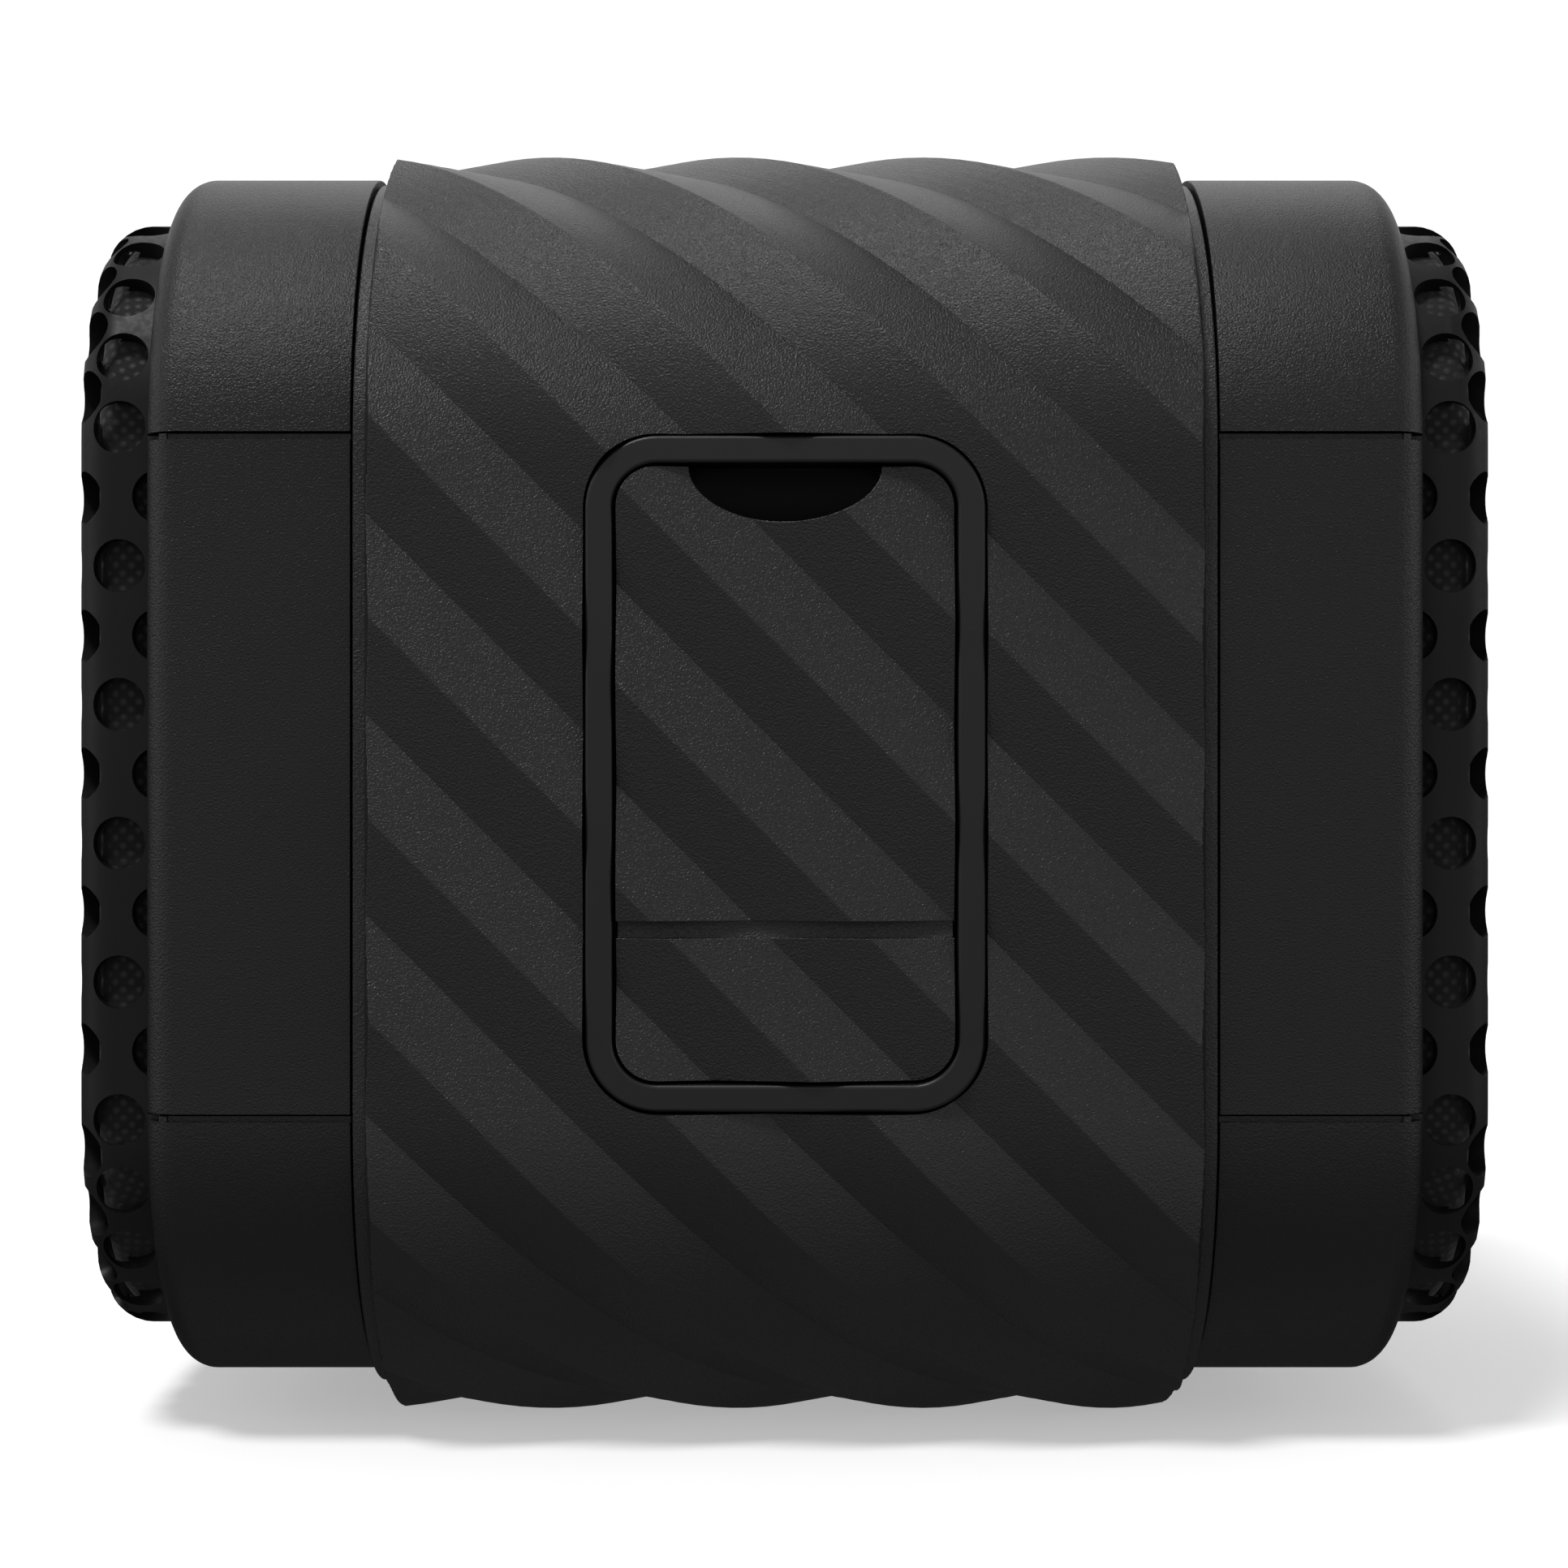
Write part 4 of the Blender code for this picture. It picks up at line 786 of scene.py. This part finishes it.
def cap_offset(point):
    """Where a cap's point lies across it: on the square of its flats, and out beyond that."""
    across = Vector((point.y, point.z - CENTRE_Z))
    core = Vector([max(-GRILLE_FLAT, min(GRILLE_FLAT, place)) for place in across])
    return core, across - core


def cap_normal(point, side):
    """Outward normal of the grille's skin nearest to a point."""
    _, over = cap_offset(point)
    beyond = max(0.0, side * point.x - (GRILLE_END - GRILLE_FILLET))
    outward = max(0.0, GRILLE_FLAT + over.length - (GRILLE_HALF - GRILLE_FILLET))
    if over.length < 1e-6 or (beyond == 0.0 and outward == 0.0):
        return Vector((side, 0.0, 0.0))
    angle = math.atan2(beyond, outward)
    direction = over.normalized()
    return Vector((side * math.sin(angle), math.cos(angle) * direction.x, math.cos(angle) * direction.y))


def set_cap_normals(obj, side):
    """Gives the pierced skin the normals of the whole one, so that it shades evenly between holes."""
    mesh = obj.data
    smooth(obj, 32.0)
    corners = [corner.vector.copy() for corner in mesh.corner_normals]
    for face in mesh.polygons:
        for index in face.loop_indices:
            point = mesh.vertices[mesh.loops[index].vertex_index].co
            ideal = cap_normal(point, side)
            agreement = ideal.dot(face.normal)
            if agreement > 0.8:
                corners[index] = ideal
            elif agreement < -0.8:
                corners[index] = -ideal
    mesh.normals_split_custom_set([tuple(corner) for corner in corners])


def cap_body(base, end, half, fillet, sheet, side, per_quarter, steps):
    path = section(GRILLE_FLAT, per_quarter=per_quarter)
    outside = cap_profile(base, end, half, fillet, steps)
    inside = cap_profile(base, end - sheet, half - sheet, fillet - sheet, steps)
    rings = []
    for x, size in list(reversed(inside)) + outside:
        rings.append([section_point(c, n, size, GRILLE_FLAT, side * x, CENTRE_Z) for c, n in path])
    return grid_body(rings)


def build_grilles():
    for end, side in ENDS:
        body = cap_body(GRILLE_BASE, GRILLE_END, GRILLE_HALF, GRILLE_FILLET, GRILLE_SHEET, side, 24, 8)
        grille = link_mesh(f"{end.title()}_Grille", body, "grille")
        for bars in grille_cutters(side):
            combine(grille, merged(*bars), solver="MANIFOLD")
        set_cap_normals(grille, side)
        seat(grille, "housing", "grille_metal", f"{end}_grille")


def unfolded(point, side, fillet):
    """Where a point of the cloth's cap lies when the cap is opened out flat round its end face."""
    core, over = cap_offset(point)
    if over.length < 1e-6:
        return core + over
    beyond = side * point.x - (CLOTH_END - fillet)
    outward = GRILLE_FLAT + over.length - (CLOTH_HALF - fillet)
    reach = over.length
    if outward > 0.0 and beyond <= 0.0:
        reach += fillet * (math.pi / 2 - 1) - beyond
    elif outward > 0.0:
        reach += fillet * math.atan2(outward, beyond) - outward
    return core + reach * over.normalized()


def build_cloths():
    fillet = GRILLE_FILLET - GRILLE_SHEET
    for end, side in ENDS:
        body = cap_body(GRILLE_BASE, CLOTH_END, CLOTH_HALF, fillet, CLOTH_SHEET, side, 24, 5)
        cloth = link_mesh(f"{end.title()}_Speaker_Cloth", body, "cloth")
        smooth(cloth, 40.0)
        mesh = cloth.data
        flat_map = mesh.uv_layers.new(name="Flat")
        for loop in mesh.loops:
            flat_map.data[loop.index].uv = unfolded(mesh.vertices[loop.vertex_index].co, side, fillet)
        seat(cloth, "housing", "grille_cloth", f"{end}_grille_cloth")


# --- Port door ---


def build_frames():
    """The rings round the two windows. The edges of their faces are eased on both sides."""
    for name, node in (("Port_Frame", "port_frame"), ("Control_Frame", "control_frame")):
        low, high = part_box(node)
        margin = GAP - SEEN_GAP
        inward = 1 if node == "port_frame" else -1
        face_y, back_y = (low.y, high.y)[::inward]
        support = FRAME_BEVEL * 1.2  # flat strips that keep the eased edges' shading off the faces
        outer = [(0.0, back_y), (0.0, face_y + inward * support)]
        for angle in (0.0, 30.0, 60.0, 90.0):
            turn = math.radians(angle)
            y = face_y + inward * FRAME_BEVEL * (1 - math.sin(turn))
            outer.append((FRAME_BEVEL * (1 - math.cos(turn)), y))
        outer.append((support, face_y))
        inner = [(FRAME_RING + margin - inset, y) for inset, y in reversed(outer)]
        layers = stepped(high.x - low.x + 2 * margin, high.z - low.z + 2 * margin, FRAME_RADIUS + margin,
                         outer + inner, steps=16)
        finished(name, layered(layers, ring=True), "frame", 40.0, "housing", "frame_plastic", node)


def ridged_slab():
    """A slab with the sleeve's ridges on its face, which the door and the tab are cut from."""
    pitch = ridge_pitch()
    crest_sum = SLEEVE_Z - CREST_PHASE - DOOR_SHIFT
    reach = 90 * MM
    points = []
    for ridge in range(-6, 7):
        for share, drop in ridge_rows():
            points.append((crest_sum + (ridge + share) * pitch, -CREST_Y + drop))
    points.append((points[-1][0], DOOR_HIGH.y))
    points.append((points[0][0], DOOR_HIGH.y))
    ends = []
    for along in (-reach, reach):
        end = []
        for total, y in points:
            x = (total - CENTRE_Z + along) / 2
            end.append((x, y, total - x))
        ends.append(end)
    return grid_body(ends)


def ease_edges(obj, wanted, width):
    """Bevels the edges that wanted(edge) picks."""
    bm = bmesh.new()
    bm.from_mesh(obj.data)
    bmesh.ops.remove_doubles(bm, verts=bm.verts, dist=2e-6)
    edges = [edge for edge in bm.edges if wanted(edge)]
    bmesh.ops.bevel(bm, geom=edges, offset=width, segments=2, profile=0.5, affect="EDGES",
                    clamp_overlap=True)
    bm.to_mesh(obj.data)
    bm.free()


def build_door():
    half = (DOOR_HIGH.x - DOOR_LOW.x) / 2 + SEEN_GROWTH
    top = DOOR_HIGH.z + DOOR_TOP_GROWTH
    bottom = TAB_LOW.z - SEEN_GROWTH
    pieces = (
        ("Port_Door", "port_door", DOOR_LOW.z, top, [FLAP_RADIUS, FLAP_RADIUS, 0.0, 0.0], "port_door"),
        ("Port_Tab", "port_tab", bottom, TAB_HIGH.z, [0.0, 0.0, FLAP_RADIUS, FLAP_RADIUS], "housing"),
    )
    front_limit = -CREST_Y + RIDGE_DEPTH * 1.2
    fold_low = TAB_HIGH.z - 0.1 * MM
    fold_high = DOOR_LOW.z + 0.1 * MM
    for name, node, low, high, radii, body in pieces:
        shape = outline(-half, half, low, high, radii, 16)
        piece = link_mesh(name, layered(((shape, -CREST_Y - 1 * MM), (shape, DOOR_HIGH.y))), "sleeve")
        combine(piece, ridged_slab(), "INTERSECT")
        if node == "port_door":
            notch = ellipse(NOTCH_WIDTH / 2, NOTCH_DEPTH, 0.0, top, 72)
            combine(piece, layered(((notch, -CREST_Y - 2 * MM), (notch, DOOR_HIGH.y + 1 * MM))))

        def on_rim(edge):
            if len(edge.link_faces) != 2:
                return False
            if max(v.co.y for v in edge.verts) > front_limit:
                return False
            return edge.calc_face_angle(0.0) > math.radians(50)

        def in_fold(edge):
            return all(fold_low < v.co.z < fold_high for v in edge.verts)

        def in_notch(edge):
            places = [(v.co.x / NOTCH_WIDTH * 2, (v.co.z - top) / NOTCH_DEPTH) for v in edge.verts]
            return node == "port_door" and all(abs(math.hypot(*place) - 1.0) < 0.02 for place in places)

        ease_edges(piece, lambda edge: on_rim(edge) and in_notch(edge), NOTCH_BEVEL)
        ease_edges(piece, lambda edge: on_rim(edge) and not in_fold(edge), DOOR_BEVEL)
        ease_edges(piece, lambda edge: on_rim(edge) and in_fold(edge), FOLD_BEVEL)
        smooth(piece, 12.0)
        seat(piece, body, "sleeve_rubber", node)


def build_hinge_web():
    """The thin rubber web in the fold: a shallow trough."""
    half = (DOOR_HIGH.x - DOOR_LOW.x) / 2 - 0.05 * MM
    low = TAB_HIGH.z - WEB_LAP
    high = DOOR_LOW.z + WEB_LAP
    low_y = -CREST_Y + RIDGE_DEPTH + 0.04 * MM
    high_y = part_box("port_hinge_web")[1].y
    front, back = [], []
    for share in [i / WEB_ROWS for i in range(WEB_ROWS + 1)]:
        z = low + (high - low) * share
        trough = math.sin(math.pi * share) ** 2 * TROUGH_DEPTH
        front.append((low_y + trough, z))
        back.append((high_y - 0.05 * MM + trough / 2, z))
    places = [half * (2 * i / WEB_COLUMNS - 1) for i in range(WEB_COLUMNS + 1)]
    rings = [[(x, y, z) for y, z in front + back[::-1]] for x in places]
    web = link_mesh("Port_Hinge_Web", grid_body(rings), "sleeve")
    smooth(web, 50.0)
    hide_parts("port_hinge_web")
    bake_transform(web)


def build_port_panel():
    width = PANEL_HIGH.x - PANEL_LOW.x
    height = PANEL_HIGH.z - PANEL_LOW.z
    face, back = PANEL_LOW.y, PANEL_HIGH.y
    plate = stepped(width, height, FLAP_RADIUS, ((0.0, back), (0.0, face + 0.1 * MM), (0.1 * MM, face)))
    # The panel takes the darker recess finish, which paints shade into it.
    panel = link_mesh("Port_Panel", layered(plate), "shaded_recess")
    usb_x, socket_z = middle("usb_socket")
    aux_x, _ = middle("aux_jack")
    well_half = (AUX_HIGH.z - AUX_LOW.z) / 2 + GAP
    floor = face + WELL_DEPTH
    well = stepped(AUX_HIGH.x - USB_LOW.x + 2 * WELL_MARGIN, 2 * well_half, WELL_RADIUS,
                   ((0.0, face - 1 * MM), (0.0, floor - 0.2 * MM), (0.2 * MM, floor)),
                   (AUX_HIGH.x + USB_LOW.x) / 2, socket_z)
    combine(panel, layered(well))
    usb_hole = centred(USB_WIDTH + 2 * GAP, USB_HEIGHT + 2 * GAP, 1.6 * MM, usb_x, socket_z)
    aux_hole = ellipse(well_half, well_half, aux_x, socket_z)
    for hole in (usb_hole, aux_hole):
        combine(panel, layered(((hole, face - 1 * MM), (hole, back + 1 * MM))))
    scoop = bmesh.new()
    bmesh.ops.create_uvsphere(scoop, u_segments=48, v_segments=24, radius=1.0)
    scoop_z = DOOR_HIGH.z - 1.2 * MM
    for vertex in scoop.verts:
        x, y, z = vertex.co
        vertex.co = (x * NOTCH_WIDTH * 0.5, face + y * SCOOP_DEPTH, scoop_z + z * NOTCH_DEPTH * 0.8)
    combine(panel, scoop)
    smooth(panel, 30.0)
    seat(panel, "housing", "frame_plastic", "port_panel")


def build_usb_socket():
    face, back = USB_LOW.y, USB_HIGH.y
    tongue_width = (USB_WIDTH - 2 * USB_SHEET) * TONGUE_WIDTH_SHARE
    tongue_height = (USB_HEIGHT - 2 * USB_SHEET) * TONGUE_HEIGHT_SHARE
    x, z = middle("usb_socket")
    rim = 0.08 * MM
    depth = (back - face) * 0.7
    profile = ((0.0, back), (0.0, face + rim), (rim, face), (USB_SHEET - rim, face),
               (USB_SHEET, face + rim), (USB_SHEET, face + depth))
    shell = stepped(USB_WIDTH, USB_HEIGHT, USB_HEIGHT / 2 - 0.03 * MM, profile, x, z, 12)
    finished("USB_Socket", layered(shell), "steel", 40.0, "housing", "plated_steel", "usb_socket")

    def tongue(inset):
        return centred(tongue_width - 2 * inset, tongue_height - 2 * inset, 0.25 * MM, x, z, 4)

    ease = 0.1 * MM
    layers = ((tongue(0.0), face + depth + 0.3 * MM), (tongue(0.0), face + TONGUE_FRONT + ease),
              (tongue(ease), face + TONGUE_FRONT))
    finished("USB_Socket_Tongue", layered(layers), "jack", 40.0, "housing", "jack_plastic")
    pads = []
    for i in range(CONTACT_COUNT):
        pad_x = x + (i - (CONTACT_COUNT - 1) / 2) * CONTACT_PITCH
        for side in (-1, 1):
            pad_z = z + side * tongue_height / 2
            pad = centred(0.5 * MM, 0.06 * MM, 0.02 * MM, pad_x, pad_z, 2)
            pads.append(layered(((pad, face + 1.2 * MM), (pad, face + 3.4 * MM))))
    contacts = link_mesh("USB_Socket_Contacts", merged(*pads), "contact")
    seat(contacts, "housing", "plated_steel")


def build_aux_jack():
    face, back = USB_LOW.y, USB_HIGH.y
    x, z = middle("aux_jack")
    outer = (AUX_HIGH.x - AUX_LOW.x) / 2
    rounds = ((outer, back), (outer, face + 0.25 * MM), (outer - 0.1 * MM, face + 0.06 * MM),
              (outer - 0.3 * MM, face), (AUX_BORE + 0.45 * MM, face), (AUX_BORE + 0.2 * MM, face + 0.06 * MM),
              (AUX_BORE, face + 0.3 * MM), (AUX_BORE, face + (back - face) * 0.8))
    jack = layered(circles(rounds, x, z))
    finished("Aux_Jack", jack, "jack", 40.0, "housing", "jack_plastic", "aux_jack")


def build_plugs():
    for node, name in (("usb_plug", "USB_Plug"), ("aux_plug", "Aux_Plug")):
        low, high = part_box(node)
        x, z = middle(node)
        root, tip = low.y, high.y
        step = root + PLUG_FLANGE
        flange = (high.x - low.x, high.z - low.z)
        bung = (2 * (AUX_BORE - BUNG_FIT),) * 2
        if node == "usb_plug":
            less = 2 * (USB_SHEET + BUNG_FIT)
            bung = (USB_WIDTH - less, USB_HEIGHT - less)
        flange_profile = ((0.0, root - 0.25 * MM), (0.0, step - 0.2 * MM), (0.06 * MM, step - 0.06 * MM),
                          (0.2 * MM, step))
        bung_profile = ((0.0, step), (0.0, tip - 0.3 * MM), (0.1 * MM, tip - 0.08 * MM), (0.3 * MM, tip))
        layers = stepped(*flange, min(flange) / 2, flange_profile, x, z, 12)
        layers += stepped(*bung, min(bung) / 2, bung_profile, x, z, 12)
        finished(name, layered(layers), "sleeve", 40.0, "port_door", "sleeve_rubber", node)


# --- Controls ---


def button_size(node):
    """Width and height of a button's visible cap, and the height of its middle."""
    low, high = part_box(node)
    return high.x - low.x - 2 * BUTTON_LIP, high.z - low.z - 2 * BUTTON_LIP, (low.z + high.z) / 2


def mark_for(node, face, z):
    """Raised sign on a button: bars, a triangle or a broken ring, as a bmesh."""
    top = face + MARK_RISE
    foot = face - 0.3 * MM

    def bar(width, height, above=0.0):
        points = centred(width, height, 0.18 * MM, 0.0, z + above, 4)
        return layered(((points, foot), (points, top)))

    def broken_ring(radius, width, first, last):
        steps = 28
        outer, inner = [], []
        for i in range(steps + 1):
            angle = math.radians(first + (last - first) * i / steps)
            outer.append((radius * math.cos(angle), z + radius * math.sin(angle)))
            inner.append(((radius - width) * math.cos(angle), z + (radius - width) * math.sin(angle)))
        points = outer + inner[::-1]
        return layered(((points, foot), (points, top)))

    if node == "power_button":
        return merged(broken_ring(MARK_RADIUS, MARK_STROKE, 125, 415), bar(MARK_STROKE, 1.5 * MM, 1.25 * MM))
    if node == "volume_up_button":
        upright = [bar(0.5 * MM, 1.0 * MM, offset) for offset in (0.78 * MM, -0.78 * MM)]
        return merged(bar(2.6 * MM, 0.5 * MM), *upright)
    if node == "volume_down_button":
        return bar(2.6 * MM, 0.5 * MM)
    if node == "play_button":
        triangle = [(1.5 * MM, z - 1.5 * MM), (1.5 * MM, z + 1.5 * MM), (-1.2 * MM, z)]
        return layered(((triangle, foot), (triangle, top)))
    rings = ((MARK_RADIUS, MARK_STROKE), (0.55 * MM, 0.5 * MM))
    return merged(*(broken_ring(radius, stroke, 0, 359.9) for radius, stroke in rings))


def build_control_panel():
    face, back = CONTROL_HIGH.y, CONTROL_LOW.y
    width = CONTROL_HIGH.x - CONTROL_LOW.x
    height = CONTROL_HIGH.z - CONTROL_LOW.z
    profile = ((0.0, back), (0.0, face - 0.15 * MM), (0.05 * MM, face - 0.05 * MM), (0.15 * MM, face))
    panel = link_mesh("Control_Panel", layered(stepped(width, height, FLAP_RADIUS, profile)), "frame")
    for node in BUTTON_NODES:
        button_width, button_height, z = button_size(node)
        cutter = []
        for wider, y in ((0.55, face + 0.3 * MM), (0.25, face), (0.07, face - 0.1 * MM),
                         (0.0, face - 0.3 * MM), (0.0, back - 1 * MM)):
            grow = 2 * (BUTTON_FIT + wider * MM)
            hole = centred(button_width + grow, button_height + grow, button_height * ROUND_END, 0.0, z, 12)
            cutter.append((hole, y))
        combine(panel, layered(cutter))
    low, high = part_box("led_light_pipe")
    light_hole = (high.x - low.x) / 2 + BUTTON_FIT
    for node, radius in (("led_light_pipe", light_hole), ("microphone", MICROPHONE_HOLE)):
        x, z = middle(node)
        rounds = ((radius + 0.2 * MM, face + 0.1 * MM), (radius, face - 0.1 * MM), (radius, back - 1 * MM))
        combine(panel, layered(circles(rounds, x, z, 32)))
    smooth(panel, 12.0)
    seat(panel, "housing", "frame_plastic", "control_panel")


def build_buttons():
    for node in BUTTON_NODES:
        low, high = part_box(node)
        button_width, button_height, z = button_size(node)
        title = "_".join(word.title() for word in node.split("_"))
        face = high.y - MARK_RISE
        lip_back = low.y + STEM_LENGTH
        lip_face = lip_back + BUTTON_LIP
        stem = centred(2 * STEM_RADIUS, 2 * STEM_RADIUS, 2 * STEM_RADIUS * ROUND_END, 0.0, z, 12)
        layers = [(stem, low.y + 0.01 * MM), (stem, lip_back)]
        crown = [(0.0, lip_face)] + [(inset * MM, face - drop * MM) for inset, drop in BUTTON_CROWN]
        for lip, profile in ((BUTTON_LIP, ((0.0, lip_back), (0.0, lip_face))), (0.0, crown)):
            layers += stepped(button_width + 2 * lip, button_height + 2 * lip, button_height * ROUND_END,
                              profile, 0.0, z, 12)
        finished(title, layered(layers), "button", 40.0, node, "button_rubber", node)
        sign = link_mesh(f"{title}_Mark", mark_for(node, face, z), "mark")
        seat(sign, node, "button_rubber")


# --- Pieces that keep their CAD shape ---


def dress_cad_nodes():
    kept = {
        "chassis_barrel": "chassis", "battery_tray": "chassis", "battery_clamp": "chassis",
        "battery_cell_rear": "battery", "battery_cell_front": "battery",
        "main_board": "board", "control_board": "board",
        "led_light_pipe": "clear", "microphone": "steel",
    }
    for end, _ in ENDS:
        kept.update({
            f"{end}_baffle": "chassis", f"{end}_driver_gasket": "gasket", f"{end}_driver_basket": "steel",
            f"{end}_driver_magnet": "magnet", f"{end}_cone": "cone", f"{end}_surround": "gasket",
        })
        for number in range(1, 5):
            kept[f"{end}_driver_screw_{number}"] = "steel"
    for node, finish in kept.items():
        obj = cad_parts[node]
        if not obj.material_slots:
            obj.data.materials.append(None)
        for slot in obj.material_slots:
            slot.material = FINISHES[finish]


# --- Studio ---


def soft_light(name, towards, strength, spread_degrees):
    """A broad, distant soft light, shining from a direction."""
    data = bpy.data.lights.new(name, "SUN")
    data.energy = strength
    data.angle = math.radians(spread_degrees)
    light = bpy.data.objects.new(name, data)
    light.rotation_euler = (-Vector(towards)).to_track_quat("-Z", "Y").to_euler()
    bpy.context.scene.collection.objects.link(light)


# Name, direction it shines from, strength, and spread in degrees
LIGHTS = (
    ("Key_Light", (-0.26, -0.36, 0.90), 1.65, 14),
    ("Back_Light", (0.0, 0.60, 0.80), 0.4, 40),
    ("Left_Light", (-0.95, -0.10, 0.25), 0.25, 40),
    ("Right_Light", (0.95, -0.10, 0.25), 0.25, 40),
)
# (height of the direction, brightness): dim below the horizon, and brightest a little above it
PORT_SIDE_TONES = (
    (-1.0, 0.18), (-0.3, 0.20), (0.0, 0.30), (0.24, 0.88), (0.45, 0.28), (0.8, 0.15), (1.0, 0.16)
)
FAR_SIDE_TONES = (
    (-1.0, 0.18), (-0.6, 0.02), (0.0, 0.06), (0.26, 0.64), (0.5, 0.60), (0.8, 0.28), (1.0, 0.16)
)


def sky_tones(graph, height, tones):
    """Brightness of the sky by the height of the direction."""
    return graph.ramp(height, [((level + 1) / 2, (tone, tone, tone)) for level, tone in tones])


def build_floor():
    bm = bmesh.new()
    bmesh.ops.create_grid(bm, x_segments=4, y_segments=4, size=3.0)
    floor = link_mesh("Studio_Floor", bm)
    floor.data.materials.append(pale_floor())
    floor.location = (0.0, 0.0, -0.02 * MM)
    floor.visible_diffuse = False  # the sky alone lights the speaker from below
    floor.visible_glossy = False


def build_sky():
    """The camera sees plain white. Everything else is lit by two skies, one for each long side."""
    world = bpy.data.worlds.new("Studio")
    bpy.context.scene.world = world
    world.use_nodes = True
    graph = Graph(world.node_tree)
    direction = graph.add("TexCoord").outputs["Generated"]
    axes = graph.add("SeparateXYZ", Vector=direction)
    height = graph.spread(axes.outputs["Z"], 0.0, 1.0, -1.0, 1.0)
    port_side = sky_tones(graph, height, PORT_SIDE_TONES)
    far_side = sky_tones(graph, height, FAR_SIDE_TONES)
    side = graph.spread(axes.outputs["Y"], 0.0, 1.0, -0.5, 0.5)
    sky = graph.add("MixRGB", Fac=side, Color1=port_side, Color2=far_side)
    soft = graph.nodes["Background"]
    graph.fill(soft, Color=sky.outputs["Color"], Strength=1.0)
    bright = graph.add("Background", Color=(1.0, 1.0, 1.0, 1.0), Strength=1.05)
    seen = graph.add("LightPath").outputs["Is Camera Ray"]
    blend = graph.add("MixShader", Fac=seen)
    graph.feed(blend.inputs[1], soft.outputs["Background"])
    graph.feed(blend.inputs[2], bright.outputs["Background"])
    graph.fill(graph.nodes["World Output"], Surface=blend.outputs["Shader"])


def build_camera():
    """The camera faces the port side, level with its middle."""
    camera = bpy.data.cameras.new("Camera")
    camera.sensor_width = 36.0
    camera.lens = 73.36
    camera.shift_x = 0.0101
    camera.shift_y = -0.0063
    camera.clip_start = 0.01
    view = bpy.data.objects.new("Camera", camera)
    view.location = (-1.2 * MM, -272.0 * MM, 48.79 * MM)
    view.rotation_euler = (math.radians(90), 0.0, 0.0)
    bpy.context.scene.collection.objects.link(view)
    bpy.context.scene.camera = view
    bpy.context.scene.view_settings.view_transform = "Standard"


build_sleeve()
build_shells()
build_grilles()
build_cloths()
build_frames()
build_door()
build_hinge_web()
build_port_panel()
build_usb_socket()
build_aux_jack()
build_plugs()
build_control_panel()
build_buttons()
dress_cad_nodes()
build_floor()
build_sky()
for light in LIGHTS:
    soft_light(*light)
build_camera()
